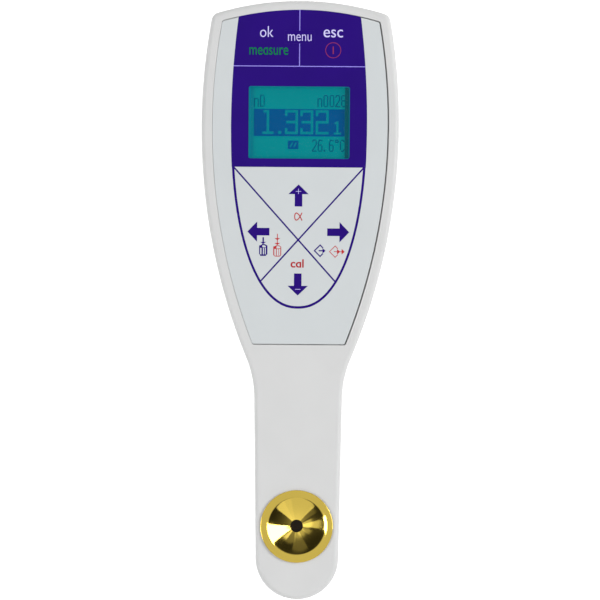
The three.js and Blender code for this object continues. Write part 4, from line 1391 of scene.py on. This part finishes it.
@dataclass
class Keypad:
    """The printed film, its lines and the six moving keys."""

    film_gap: float = 0.3
    menu_half_width: float = 6.3
    menu_low: float = 107.2
    menu_high: float = 112.6
    skin: float = 0.37
    foot_gap: float = 1.3
    foot_lap: float = 0.05
    over: float = 1.0
    rule_reach: Point = (30.0, 122.0)
    block_reach: float = 3.0

    def slab(self, outline: FieldOutline, inset: float, over: float = 0.0) -> Draft:
        """A field outline as a slab of the film, taller by over at both sides."""
        draft = Draft()
        outline.face(draft, inset, LAYOUT.film_low - over)
        return draft.raise_only(LAYOUT.film_high - LAYOUT.film_low + 2 * over).face_out()

    def field(self, key: Key) -> Draft:
        """A key's field as a tool that cuts right through the film."""
        return LAYOUT.field(key, 0, LAYOUT.film_low - self.over, LAYOUT.film_high + self.over)

    def menu_tab(self, gap: float, over: float) -> Draft:
        """The fixed strip of film that carries the word between the two upper keys."""
        half = self.menu_half_width + gap
        return Draft().block(
            (-half, self.menu_low - gap, LAYOUT.film_low - over),
            (half, self.menu_high + gap, LAYOUT.film_high + over),
        )

    def print_block(self, trims: tuple[tuple[Point, Point], ...]) -> Draft:
        """A part of the purple block as a slab.

        Args:
            trims: Where it is cut off, and in which direction.

        Returns:
            The slab.
        """
        draft = Draft()
        PRINT_BLOCK.face(draft, 0, LAYOUT.film_low)
        for place, away in trims:
            draft.trim(place, away)
        return draft.raise_only(LAYOUT.film_high - LAYOUT.film_low)

    def shield(self, over: float) -> Draft:
        """The shield's lower half as a slab, taller by over at both sides."""
        draft = Draft()
        face = LAYOUT.shield(draft, 0, LAYOUT.film_low - over)
        draft.raise_face(face, LAYOUT.film_high - LAYOUT.film_low + 2 * over)
        return draft

    def build_film(self) -> None:
        """Makes the fixed sheets: grey border, purple block, purple lines and pale rules."""
        border = self.slab(PANEL, self.film_gap)
        aside = Vector(LAYOUT.film_shift) - Vector(LAYOUT.print_shift)
        bmesh.ops.translate(border.bm, vec=(*aside, 0), verts=border.bm.verts)
        wide_block = replace(PRINT_BLOCK, end_radius=PRINT_BLOCK.end_radius + self.block_reach)
        above = self.slab(wide_block, 0, self.over)
        above.trim((0, LAYOUT.top_y), (0, -1))
        above.fill_holes()
        border.combine(above)
        border.combine(self.shield(self.over))
        print_piece("film_border", border, Finishes.film, replaces=("overlay_film",))
        rule_low = LAYOUT.upper_foot_y - LAYOUT.rule_half_width
        block = self.print_block((((0, rule_low), (0, 1)), ((0, LAYOUT.top_y), (0, -1))))
        hole_low, hole_high = LAYOUT.film_low - self.over, LAYOUT.film_high + self.over
        block.combine(LAYOUT.window(0, hole_low, hole_high, LAYOUT.window_corner))
        print_piece("film_purple_block", block, Finishes.purple)
        lines = self.shield(0)
        fields = Draft()
        for key in ARROW_KEYS:
            fields.take_in(self.field(key).bm)
        lines.combine(fields)
        print_piece("film_key_lines", lines, Finishes.purple)
        self.build_upper_film(rule_low)

    def build_upper_film(self, rule_low: float) -> None:
        """Makes the film around the two upper keys.

        Args:
            rule_low: The lower edge of the pale rule under the keys.
        """
        margin = self.print_block((((0, rule_low), (0, -1)),))
        for key in (Key.OK, Key.ESC):
            margin.combine(self.field(key))
        margin.combine(self.menu_tab(0, self.over))
        half = LAYOUT.rule_half_width
        low, high = LAYOUT.film_low - self.over, LAYOUT.film_high + self.over
        reach, end = self.rule_reach
        rules = copied(margin)
        cross = Draft().block((-reach, rule_low - 1, low), (reach, LAYOUT.upper_foot_y + half, high))
        cross.combine(Draft().block((-half, rule_low, low), (half, end, high)), Cut.ADD)
        rules.combine(copied(cross), Cut.KEEP_COMMON)
        print_piece("film_pale_rules", rules, Finishes.violet)
        margin.combine(cross)
        print_piece("film_purple_edge", margin, Finishes.purple)
        print_piece("film_menu_tab", self.menu_tab(0, 0), Finishes.purple)

    def plate(self, key: Key) -> Draft:
        """One key plate with a smaller foot, which clears the sheet below when the key is pressed.

        Args:
            key: Which key.

        Returns:
            Its mesh.
        """
        gap, foot_gap = LAYOUT.plate_gap, self.foot_gap
        skin_low = LAYOUT.film_high - self.skin
        plate = LAYOUT.field(key, gap, skin_low, LAYOUT.film_high)
        foot = LAYOUT.field(key, foot_gap, LAYOUT.film_low, skin_low + self.foot_lap)
        if key not in ARROW_KEYS:
            plate.combine(self.menu_tab(gap, self.over))
            foot.combine(self.menu_tab(foot_gap, self.over))
        return plate.take_in(foot.face_out().bm)

    def build(self) -> None:
        """Makes the film and the six key plates, each on its own body."""
        self.build_film()
        for key in Key:
            finish = Finishes.film if key in ARROW_KEYS else Finishes.purple
            print_piece(f"{key.value}_plate", self.plate(key), finish, key, replaces=(key.value,))


@dataclass
class KeyPrints:
    """The words and signs printed on the keys."""

    z_range: Point = (LAYOUT.print_low, LAYOUT.print_high)
    head_half_width: float = 4.24
    head_length: float = 4.05
    shaft_half_width: float = 1.58
    arrow_length: float = 9.2
    sign_lift: float = 0.02
    sign_reach: float = 1.05
    sign_stroke: float = 0.18
    shape_lift: float = 0.008
    loop_steps: int = 28
    loop_stroke: float = 0.4
    loop_size: Point = (3.0, 2.95)
    power_place: Point = (14.03, 104.5)
    power_radii: Point = (3.03, 3.31)
    power_reach: float = 1.35
    power_stroke: float = 0.46
    power_steps: int = 64
    store_round: float = 0.3
    store_head_foot: float = 2.6
    store_head_pitch: float = 2.0
    send_head_pitch: float = 1.9

    def flat(self, draft: Draft, corners: list[Point], lift: float = 0.0) -> Draft:
        """Adds a flat print with a given outline, and returns the draft."""
        low, high = self.z_range
        draft.raise_face(draft.polygon(corners, low), high - low + lift)
        return draft

    def arrow(self, tip: Point, direction: Point) -> Draft:
        """A plain arrow.

        Args:
            tip: Its point.
            direction: Where it points, one unit long.

        Returns:
            Its mesh.
        """
        head, length = self.head_length, self.arrow_length
        half, shaft = self.head_half_width, self.shaft_half_width
        outline = (
            (0, 0), (head, half), (head, shaft), (length, shaft), (length, -shaft), (head, -shaft),
            (head, -half),
        )
        across = (-direction[1], direction[0])
        return self.flat(Draft(), [
            tuple(tip[axis] - direction[axis] * back + across[axis] * side for axis in (0, 1))
            for back, side in outline
        ])

    def plus_or_minus(self, y: float, upright: bool) -> Draft:
        """The small sign on an arrow.

        Args:
            y: Where it lies along the part.
            upright: Whether it has an upright stroke too.

        Returns:
            Its mesh.
        """
        reach = self.sign_reach
        strokes = [((-reach, y), (reach, y), self.sign_stroke)]
        if upright:
            strokes.append(((0, y - reach), (0, y + reach), self.sign_stroke))
        return bars(strokes, (self.z_range[0], self.z_range[1] + self.sign_lift))

    def loop_letter(self, centre: Point) -> Draft:
        """A Greek letter drawn as one crossing loop.

        Args:
            centre: The middle of its box.

        Returns:
            Its mesh.
        """
        half = (self.loop_size[0] / 2, self.loop_size[1] / 2)
        turns = [3 * QUARTER * (2 * step / self.loop_steps - 1) for step in range(self.loop_steps + 1)]
        places = set_at(centre, [(-math.cos(turn * 2 / 3), math.sin(turn)) for turn in turns], half)
        strokes = [(start, end, self.loop_stroke) for start, end in zip(places, places[1:])]
        return bars(strokes, self.z_range, level=True)

    def power_sign(self) -> Draft:
        """The ring and bar on the upper right key."""
        low, high = self.z_range
        (x, y), (inner, outer) = self.power_place, self.power_radii
        section = [(inner, low), (outer, low), (outer, high), (inner, high)]
        ring = Draft().turn(section, (x, y), self.power_steps)
        bar = ((x, y - self.power_reach), (x, y + self.power_reach), self.power_stroke)
        return ring.take_in(bars([bar], self.z_range).bm)

    def sign(
        self, centre: Point, strokes: list[Stroke], shapes: list[list[Point]], rounding: float = 0.0,
    ) -> Draft:
        """A small sign.

        Args:
            centre: Where it is set.
            strokes: Its strokes, drawn about zero.
            shapes: Its filled shapes, drawn about zero.
            rounding: How round its strokes are at their corners.

        Returns:
            The sign.
        """
        placed_strokes = [(*set_at(centre, (start, end)), width) for start, end, width in strokes]
        draft = bars(placed_strokes, self.z_range, rounding)
        for shape in shapes:
            self.flat(draft, set_at(centre, shape), self.shape_lift)
        return draft

    def store_sign(self, centre: Point, shaft_top: float, heads: int, weight: float) -> Draft:
        """A container with one or two small arrows into it.

        Args:
            centre: The middle of the container.
            shaft_top: Where the arrow's shaft starts above the middle.
            heads: How many arrowheads the shaft has.
            weight: How wide its strokes are.

        Returns:
            The sign.
        """
        side, corner, rim = 0.46, 0.3, 0.22
        slim, light, fine = weight * 0.9, weight * 0.8, weight * 0.6
        strokes = [
            ((-1.45, -1.5), (-1.45, 1.8), side), ((1.45, -1.5), (1.45, 1.65), weight),
            ((-1.45, -1.6), (-0.95, -2.05), corner), ((1.45, -1.6), (0.95, -2.05), corner),
            ((-0.95, -2.05), (0.95, -2.05), weight), ((-0.2, 1.05), (1.45, 1.1), rim),
            ((-0.38, -1.65), (-0.38, 1.05), slim), ((0.56, -1.65), (0.56, 1.05), fine),
            ((-0.3, 2.4), (0.75, 2.25), light), ((0.75, 2.25), (1.45, 1.8), light),
            ((0, shaft_top), (0, 3.0), slim),
        ]
        tips = [self.store_head_foot + head * self.store_head_pitch for head in range(heads)]
        cap = [(-1.6, 0.95), (-0.42, 0.95), (-0.2, 2.5), (-0.7, 2.3), (-1.6, 1.85)]
        shapes = [cap] + [[(0, tip), (1.2, tip + 0.85), (-1.2, tip + 0.85)] for tip in tips]
        return self.sign(centre, strokes, shapes, self.store_round)

    def send_sign(self, centre: Point, heads: int, reach: float, weight: float) -> Draft:
        """A tilted square with an arrow out of it.

        Args:
            centre: The middle of the square.
            heads: How many arrowheads the shaft has.
            reach: How far the arrow's tip lies right of the middle.
            weight: How wide its strokes are.

        Returns:
            The sign.
        """
        lines = (
            ((0, 2.36), (-2.36, 0)), ((-2.36, 0), (0, -2.36)), ((0, 2.36), (1.0, 1.36)),
            ((0, -2.36), (1.0, -1.36)), ((-0.35, 0), (reach - 0.8, 0)),
        )
        tips = [reach - head * self.send_head_pitch for head in range(heads)]
        shapes = [[(tip, 0), (tip - 1.3, 1.15), (tip - 1.3, -1.15)] for tip in tips]
        return self.sign(centre, [(start, end, weight) for start, end in lines], shapes)

    def word(self, words: str, centre: Point, size: Point, stroke: float = 0.0, level: bool = False) -> Draft:
        """A printed word, fitted to a box."""
        return lettering(words, centre, size, self.z_range, stroke, level)

    def build(self) -> None:
        """Makes every print on the keys: arrows, plus and minus, words, and signs."""
        ink = Finishes
        prints = (
            ("key_up_arrow", Key.UP, ink.purple, self.arrow((0.03, 48.38), (0, 1))),
            ("key_down_arrow", Key.DOWN, ink.purple, self.arrow((-0.04, 2.02), (0, -1))),
            ("key_left_arrow", Key.LEFT, ink.purple, self.arrow((-21.2, 28.57), (-1, 0))),
            ("key_right_arrow", Key.RIGHT, ink.purple, self.arrow((21.3, 28.55), (1, 0))),
            ("key_up_plus", Key.UP, ink.lavender, self.plus_or_minus(45.5, True)),
            ("key_down_minus", Key.DOWN, ink.lavender, self.plus_or_minus(4.6, False)),
            ("key_ok_word", Key.OK, ink.pale, self.word("ok", (-13.78, 112.1), (5.55, 4.6), -0.006)),
            ("key_esc_word", Key.ESC, ink.pale, self.word("esc", (14.0, 111.5), (8.1, 3.3))),
            ("menu_word", None, ink.lavender, self.word("menu", (0.03, 109.64), (9.85, 2.8), -0.006)),
            ("key_ok_second_word", Key.OK, ink.green,
             self.word("meqsure", (-12.85, 103.98), (16.2, 3.05), level=True)),
            ("key_up_letter", Key.UP, ink.small_red, self.loop_letter((-0.03, 34.97))),
            ("key_down_word", Key.DOWN, ink.red, self.word("cql", (-0.33, 15.42), (5.5, 3.5), 0.02, True)),
            ("key_esc_power_sign", Key.ESC, ink.dark_red, self.power_sign()),
            ("key_left_store_sign", Key.LEFT, ink.purple, self.store_sign((-14.58, 20.82), 5.13, 1, 0.66)),
            ("key_left_store_all_sign", Key.LEFT, ink.small_red,
             self.store_sign((-8.66, 20.45), 7.15, 2, 0.35)),
            ("key_right_send_sign", Key.RIGHT, ink.purple, self.send_sign((9.2, 20.78), 1, 2.3, 0.5)),
            ("key_right_send_all_sign", Key.RIGHT, ink.small_red,
             self.send_sign((15.48, 20.43), 2, 4.0, 0.31)),
        )
        for name, key, finish, draft in prints:
            print_piece(name, draft, finish, key)


# The display


@dataclass
class Display:
    """The clear window, and what the screen below it shows."""

    window_gap: float = 0.05
    screen_z: float = 25.1
    ink_height: float = 0.03
    ink_sink: float = 0.01
    window_edge: float = 0.1
    frame_inset: float = 0.02
    frame_low: Point = (-20.3, 59.45)
    frame_high: Point = (20.8, 89.0)
    strip_low: Point = (-23.4, 57.0)
    strip_high: Point = (23.4, 91.8)
    active_left: float = -19.5
    active_right: float = 18.65
    band_low: Point = (-19.35, 68.45)
    band_high: Point = (18.6, 79.87)
    cell_low: Point = (-5.1, 63.08)
    cell_high: Point = (-0.6, 66.68)
    digits: tuple[tuple[float, str], ...] = ((-15.5, "1"), (-6.35, "3"), (0.05, "3"), (6.5, "2"))
    digit_size: Point = (5.45, 10.1)
    digit_stroke: float = 1.06
    digit_foot: float = 69.35
    digit_stub: float = 1.5
    digit_round: float = 0.3
    point_round: float = 0.2
    figure_size: Point = (1.55, 4.6)
    figure_stroke: float = 0.42

    def layer(self, level: int) -> Point:
        """The foot and top of one layer of the picture."""
        return (self.screen_z - self.ink_sink, self.screen_z + self.ink_height * level)

    def sheet(self, low: Point, high: Point, level: int) -> Draft:
        """A block in the picture, up to one of its layers."""
        foot, top = self.layer(level)
        return Draft().block((*low, foot), (*high, top))

    def digit(self, left: float, figure: str) -> Draft:
        """One large figure made of straight bars.

        Args:
            left: Where it starts.
            figure: Which figure.

        Returns:
            Its mesh.
        """
        width, height = (side - self.digit_stroke for side in self.digit_size)
        middle, stub = height / 2, self.digit_stub
        top, hook = ((0, height), (width, height)), ((0, height - stub), (0, height))
        figures = {
            "1": (((1.5, 0), (1.5, height)), ((-0.3, 0), (3.4, 0)), ((0.1, height - 0.1), (1.5, height))),
            "2": (top, ((width, height), (width, middle)), ((0, middle), (width, middle)),
                  ((0, middle), (0, 0)), ((0, 0), (width, 0)), hook),
            "3": (top, ((width, height), (width, 0)), ((0.5, middle), (width, middle)),
                  ((0, 0), (width, 0)), hook, ((0, stub), (0, 0))),
        }
        start = (left + self.digit_stroke / 2, self.digit_foot + self.digit_stroke / 2)
        strokes = [(*set_at(start, ends), self.digit_stroke) for ends in figures[figure]]
        return bars(strokes, self.layer(2), self.digit_round)

    def small_figures(self, words: str, lefts: tuple[float, ...], foot: float) -> Draft:
        """Small figures made of thin bars, as a screen of cells shows them.

        Args:
            words: The figures.
            lefts: The left edge of each.
            foot: Their lower edge.

        Returns:
            Their mesh.
        """
        base, crown = ((0.2, 0), (0.8, 0)), ((0.2, 1), (0.8, 1))
        shapes = {
            "n": (((0, 0), (0, 0.7)), ((0, 0.7), (0.8, 0.7)), ((1, 0.6), (1, 0))),
            "D": (((0, 0), (0, 1)), ((0, 1), (0.75, 1)), ((1, 0.85), (1, 0.15)), ((0, 0), (0.75, 0))),
            "0": (((0, 0.1), (0, 0.9)), crown, ((1, 0.9), (1, 0.1)), base),
            "2": (((0, 0.85), (0.2, 1)), crown, ((1, 0.9), (1, 0.6)), ((1, 0.6), (0, 0.05)),
                  ((0, 0), (1, 0))),
            "6": (((1, 0.95), (0.4, 1)), ((0.3, 1), (0, 0.7)), ((0, 0.7), (0, 0.1)), base,
                  ((1, 0.1), (1, 0.45)), ((0, 0.55), (0.8, 0.55))),
            "8": (((0, 0.1), (0, 0.45)), ((0, 0.62), (0, 0.9)), crown, ((1, 0.9), (1, 0.62)),
                  ((0.2, 0.53), (0.8, 0.53)), ((1, 0.45), (1, 0.1)), base),
            "C": (((1, 0.85), (0.7, 1)), ((0.7, 1), (0.25, 1)), ((0, 0.85), (0, 0.15)),
                  ((0.25, 0), (0.7, 0)), ((0.7, 0), (1, 0.15))),
            ".": (((0, 0), (0.15, 0)), ((0, 0.08), (0.15, 0.08))),
            "°": (((0.1, 0.8), (0.6, 0.8)), ((0.1, 1), (0.6, 1)), ((0, 0.85), (0, 0.95)),
                  ((0.7, 0.85), (0.7, 0.95))),
        }
        strokes = [
            (*set_at((left, foot), ends, self.figure_size), self.figure_stroke)
            for figure, left in zip(words, lefts) for ends in shapes[figure]
        ]
        return bars(strokes, self.layer(1))

    def build_window(self) -> None:
        """Makes the clear pane level with the film."""
        low, high = LAYOUT.film_low, LAYOUT.film_high
        pane = LAYOUT.window(self.window_gap, low, high, LAYOUT.window_corner)
        print_piece(
            "display_pane", pane, Finishes.window, replaces=("display_window",), bevel=self.window_edge,
        )

    def build_edges(self) -> None:
        """Makes the darker strips beside the active area of the screen, the right one darker still with a
        painted shadow of the window's right wall, and the window's frame.
        """
        left = self.sheet(self.strip_low, (self.active_left, self.strip_high[1]), 3)
        screen_piece("screen_left_strip", left, Finishes.screen_left)
        # the right strip's finish holds a painted shadow of the window's right wall over the screen's border
        right = self.sheet((self.active_right, self.strip_low[1]), self.strip_high, 3)
        screen_piece("screen_right_shadow_strip", right, Finishes.screen_right_shadow)
        low, high = LAYOUT.film_low, LAYOUT.film_low + self.ink_height
        frame_sheet = LAYOUT.window(self.window_gap + self.frame_inset, low, high)
        frame_sheet.combine(Draft().block((*self.frame_low, low - 1), (*self.frame_high, high + 1)))
        print_piece("window_frame_print", frame_sheet, Finishes.screen_left)

    def build_reading(self) -> None:
        """Makes the band, the large figures, the small ones and the cell's sign."""
        band = self.sheet(self.band_low, self.band_high, 1)
        screen_piece("screen_band_bar", band, Finishes.screen_band)
        figures = Draft()
        for left, figure in self.digits:
            figures.take_in(self.digit(left, figure).bm)
        point = [((-8.55, 70.05), (-8.53, 70.05), 1.25)]
        figures.take_in(bars(point, self.layer(2), self.point_round).bm)
        small_one = [
            ((15.6, 69.9), (15.6, 74.4), 0.85), ((14.5, 69.75), (16.7, 69.75), 0.8),
            ((14.7, 74.0), (15.6, 74.4), 0.7),
        ]
        figures.take_in(bars(small_one, self.layer(2)).bm)
        screen_piece("screen_reading", figures, Finishes.screen_digit)
        small = Draft()
        for words, lefts, foot in (
            ("nD", (-19.13, -16.63), 80.92), ("n0028", (7.4, 9.9, 12.45, 14.85, 17.3), 80.98),
            ("26.6°C", (5.25, 7.65, 10.1, 12.3, 14.85, 16.88), 62.36),
        ):
            small.take_in(self.small_figures(words, lefts, foot).bm)
        screen_piece("screen_small_figures", small, Finishes.screen_ink)
        cell = self.sheet(self.cell_low, self.cell_high, 1)
        screen_piece("screen_cell_sign", cell, Finishes.screen_band)
        marks = [((-3.95, 64.2), (-3.2, 65.6), 0.4), ((-2.45, 64.2), (-1.7, 65.6), 0.4)]
        screen_piece("screen_cell_marks", bars(marks, self.layer(2)), Finishes.screen)

    def build(self) -> None:
        """Makes the window and the picture."""
        self.build_window()
        self.build_edges()
        self.build_reading()


# The sample dish


@dataclass
class OpticsPrism:
    """The measuring prism under the dish, seen through its hole."""

    top: float = 17.6
    foot: float = 11.1
    half_width: float = 5.0
    top_half_length: float = 6.5
    foot_half_length: float = 3.0
    edge: float = 0.12

    def build(self) -> None:
        """Makes the prism with its two slanted ends."""
        x, y = DISH_PLACE
        half, length = self.half_width, self.top_half_length
        draft = Draft().block((x - half, y - length, self.foot), (x + half, y + length, self.top))
        fall, run = self.top - self.foot, length - self.foot_half_length
        for side in (-1, 1):
            draft.cut((x, y + side * length, self.top), (0, side * fall, -run), True)
            draft.fill_holes()
        make_piece("measuring_prism", draft, Finishes.glass, replaces=("prism",), bevel=self.edge)


@dataclass
class SampleDish:
    """The polished dish with its rolled rim and the hole over the prism."""

    rim_radius: float = 15.15
    rim_round: float = 0.2
    rim_fall: float = 0.12
    crest: float = 26.5
    flange_low: float = 25.6
    bottom: float = 18.2
    barrel_radius: float = 12.7
    hole_radius: float = 2.65
    cone_radius: float = 11.6
    cone_fall: float = 0.585
    fillet_radius: float = 6.5
    cone_steps: int = 20
    cone_bow: float = 0.14
    groove_radii: Point = (4.55, 3.25)
    groove_depth: float = 0.7
    round_steps: int = 18
    steps: int = 256
    play: Point = (-0.24, 0.0)

    def cone(self) -> list[Point]:
        """The inner face, from the hole over the slightly bowed cone to the crest."""
        chord = self.cone_fall
        end_slope = math.atan(chord * (1 - self.cone_bow))
        cone_top = self.crest - self.fillet_radius * (1 - math.cos(end_slope))
        reach = self.cone_radius - self.hole_radius
        start = cone_top - chord * reach
        cone = [(self.hole_radius, start)]
        for step in range(1, self.cone_steps):
            share = step / self.cone_steps
            bow = self.cone_bow * chord * reach * share * (1 - share)
            cone.append((self.hole_radius + reach * share, start + chord * reach * share + bow))
        for step in range(self.round_steps + 1):
            slope = end_slope * (1 - step / self.round_steps)
            cone.append((
                self.cone_radius + self.fillet_radius * (math.sin(end_slope) - math.sin(slope)),
                self.crest - self.fillet_radius * (1 - math.cos(slope)),
            ))
        return cone

    def rim(self) -> list[Point]:
        """The rounded outer edge, from its top down."""
        angles = [QUARTER * step / self.round_steps for step in range(self.round_steps + 1)]
        return [(
            self.rim_radius - self.rim_round * (1 - math.sin(angle)),
            self.crest - self.rim_fall - self.rim_round * (1 - math.cos(angle)),
        ) for angle in angles]

    def build(self) -> None:
        """Makes the dish from its section, which ends with the groove for its seal."""
        outer, inner = self.groove_radii
        roof = self.bottom + self.groove_depth
        profile = [
            (self.hole_radius, self.bottom), *self.cone(), *self.rim(),
            (self.barrel_radius, self.flange_low), (self.barrel_radius, self.bottom),
            (outer, self.bottom), (outer, roof), (inner, roof), (inner, self.bottom),
        ]
        dish = Draft().turn(profile, DISH_PLACE, self.steps)
        make_piece(
            "sample_dish_turned", dish, Finishes.gold, replaces=("sample_dish",), shift=self.play,
        )


# What is carried over from the frame


def dress_nodes() -> None:
    """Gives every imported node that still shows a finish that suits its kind."""
    for name, node in sorted(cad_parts.items()):
        fitting = [finish for finish, kinds in NODE_FINISHES.items() if name.startswith(kinds)]
        finish = fitting[0] if fitting else Finishes.housing
        node.data.materials.clear()
        node.data.materials.append(finish.material())
        LOG.info("%s dressed in %s", name, finish.name)


# Studio


@dataclass(frozen=True)
class SoftBox:
    """One soft light around the instrument."""

    name: str
    azimuth: float
    elevation: float
    width: float
    height: float
    power: float
    distance: float = 1.6

    def build(self, target: Vector) -> None:
        """Places the light so that it faces the target."""
        light = bpy.data.lights.new(self.name, "AREA")
        light.shape = "RECTANGLE"
        light.size = self.width
        light.size_y = self.height
        light.energy = self.power
        lamp = placed(self.name, light)
        azimuth, elevation = math.radians(self.azimuth), math.radians(self.elevation)
        flat = math.cos(elevation)
        offset = Vector((flat * math.cos(azimuth), flat * math.sin(azimuth), math.sin(elevation)))
        lamp.location = target + offset * self.distance
        lamp.rotation_euler = (-offset).to_track_quat("-Z", "Y").to_euler()
        lamp.visible_camera = False


@dataclass
class Studio:
    """The camera, the pale floor and the soft lights."""

    camera_place: Place = (0.00045, 0.0001, 2.5)
    camera_roll: float = 0.0079
    frame_width: float = 0.2506
    frame_height_z: float = 0.026
    sensor: float = 36.0
    clip_end: float = 20.0
    floor_radius: float = 4.0
    floor_steps: int = 96
    floor_height: float = -0.0004
    floor_colour: Colour = (0.74, 0.74, 0.74)
    floor_glow: float = 0.78
    target: Place = (0.0, 0.0, 0.02)
    room: tuple[Point, ...] = (
        (0.0, 0.45), (0.28, 0.4), (0.38, 0.2), (0.435, 0.1), (0.5, 0.045),
        (0.56, 0.022), (0.64, 0.022), (0.72, 0.6), (1.0, 0.6),
    )

    def build_camera(self) -> None:
        """Makes the camera straight above the instrument."""
        data = bpy.data.cameras.new("camera")
        data.sensor_width = self.sensor
        distance = self.camera_place[2] - self.frame_height_z
        data.lens = self.sensor * distance / self.frame_width
        data.clip_end = self.clip_end
        camera = placed("camera", data)
        camera.location = self.camera_place
        camera.rotation_euler = (0, 0, self.camera_roll)
        bpy.context.scene.camera = camera

    def build_floor(self) -> None:
        """Makes the pale floor."""
        bm = bmesh.new()
        bmesh.ops.create_circle(bm, cap_ends=True, segments=self.floor_steps, radius=self.floor_radius)
        bmesh.ops.translate(bm, vec=(0, 0, self.floor_height), verts=bm.verts)
        mesh = bpy.data.meshes.new("pale_floor")
        bm.to_mesh(mesh)
        bm.free()
        floor = placed("pale_floor", mesh)
        finish = Finish(
            "floor_paper", self.floor_colour, 0.9, specular=0.1, mottle=0.005, glow=self.floor_glow,
        )
        mesh.materials.append(finish.material())

    def build_lights(self) -> None:
        """Makes the soft lights and the room, bright above and low down and dim between."""
        boxes = (
            SoftBox("right_box", 9.1, 38.5, 0.92, 0.77, 15.7),
            SoftBox("right_edge_card", 41, 24.5, 0.4, 0.44, 0.46),
            SoftBox("left_upper_box", 193, 49, 0.56, 0.56, 8.8),
            SoftBox("front_box", 273.2, 28.5, 2.2, 0.7, 3.0),
            SoftBox("front_edge_card", 297, 28, 0.8, 0.55, 0.13),
            SoftBox("front_end_card", 303, 28, 0.45, 0.55, 0.075),
            SoftBox("left_card", 192, 25, 0.5, 0.5, 0.5),
            SoftBox("left_foot_card", 194, 23.4, 1.0, 0.27, 0.46),
            SoftBox("left_low_card", 229, 25, 0.42, 0.4, 0.05),
            SoftBox("back_side_card", 62, 27, 1.2, 0.4, 0.24),
            SoftBox("back_card", 100, 35, 1.0, 0.28, 0.097),
            SoftBox("back_foot_card", 98, 26, 1.1, 0.24, 0.3),
            SoftBox("back_low_card", 125, 24, 2.8, 0.3, 1.08),
            SoftBox("back_edge_card", 161, 24, 0.55, 0.32, 0.17),
        )
        for box in boxes:
            box.build(Vector(self.target))
        world = bpy.data.worlds.new("soft_room")
        world.use_nodes = True
        tree = world.node_tree
        place = tree.nodes.new("ShaderNodeTexCoord").outputs["Generated"]
        split = new_node(tree, "SeparateXYZ", {"Vector": place})
        ramp = new_node(tree, "ValToRGB", {"Fac": split.outputs["Z"]})
        elements = ramp.color_ramp.elements
        while len(elements) < len(self.room):
            elements.new(0.5)
        for element, (height, light) in zip(elements, self.room):
            element.position = height
            element.color = (light, light, light, 1)
        set_inputs(tree, tree.nodes["Background"], {"Color": ramp.outputs["Color"]})
        bpy.context.scene.world = world

    def build(self) -> None:
        """Makes the whole studio."""
        bpy.context.scene.view_settings.view_transform = "Standard"
        self.build_camera()
        self.build_floor()
        self.build_lights()


def main() -> None:
    """Builds the studio and every sub-assembly in order."""
    logging.basicConfig(level=logging.INFO, format="%(name)s: %(message)s")
    Studio().build()
    dress_nodes()
    shells = HousingShells()
    shells.build()
    BatteryDoor().build(shells)
    HousingScrew().build_all()
    Keypad().build()
    KeyPrints().build()
    Display().build()
    OpticsPrism().build()
    SampleDish().build()


if __name__ == "__main__":
    main()
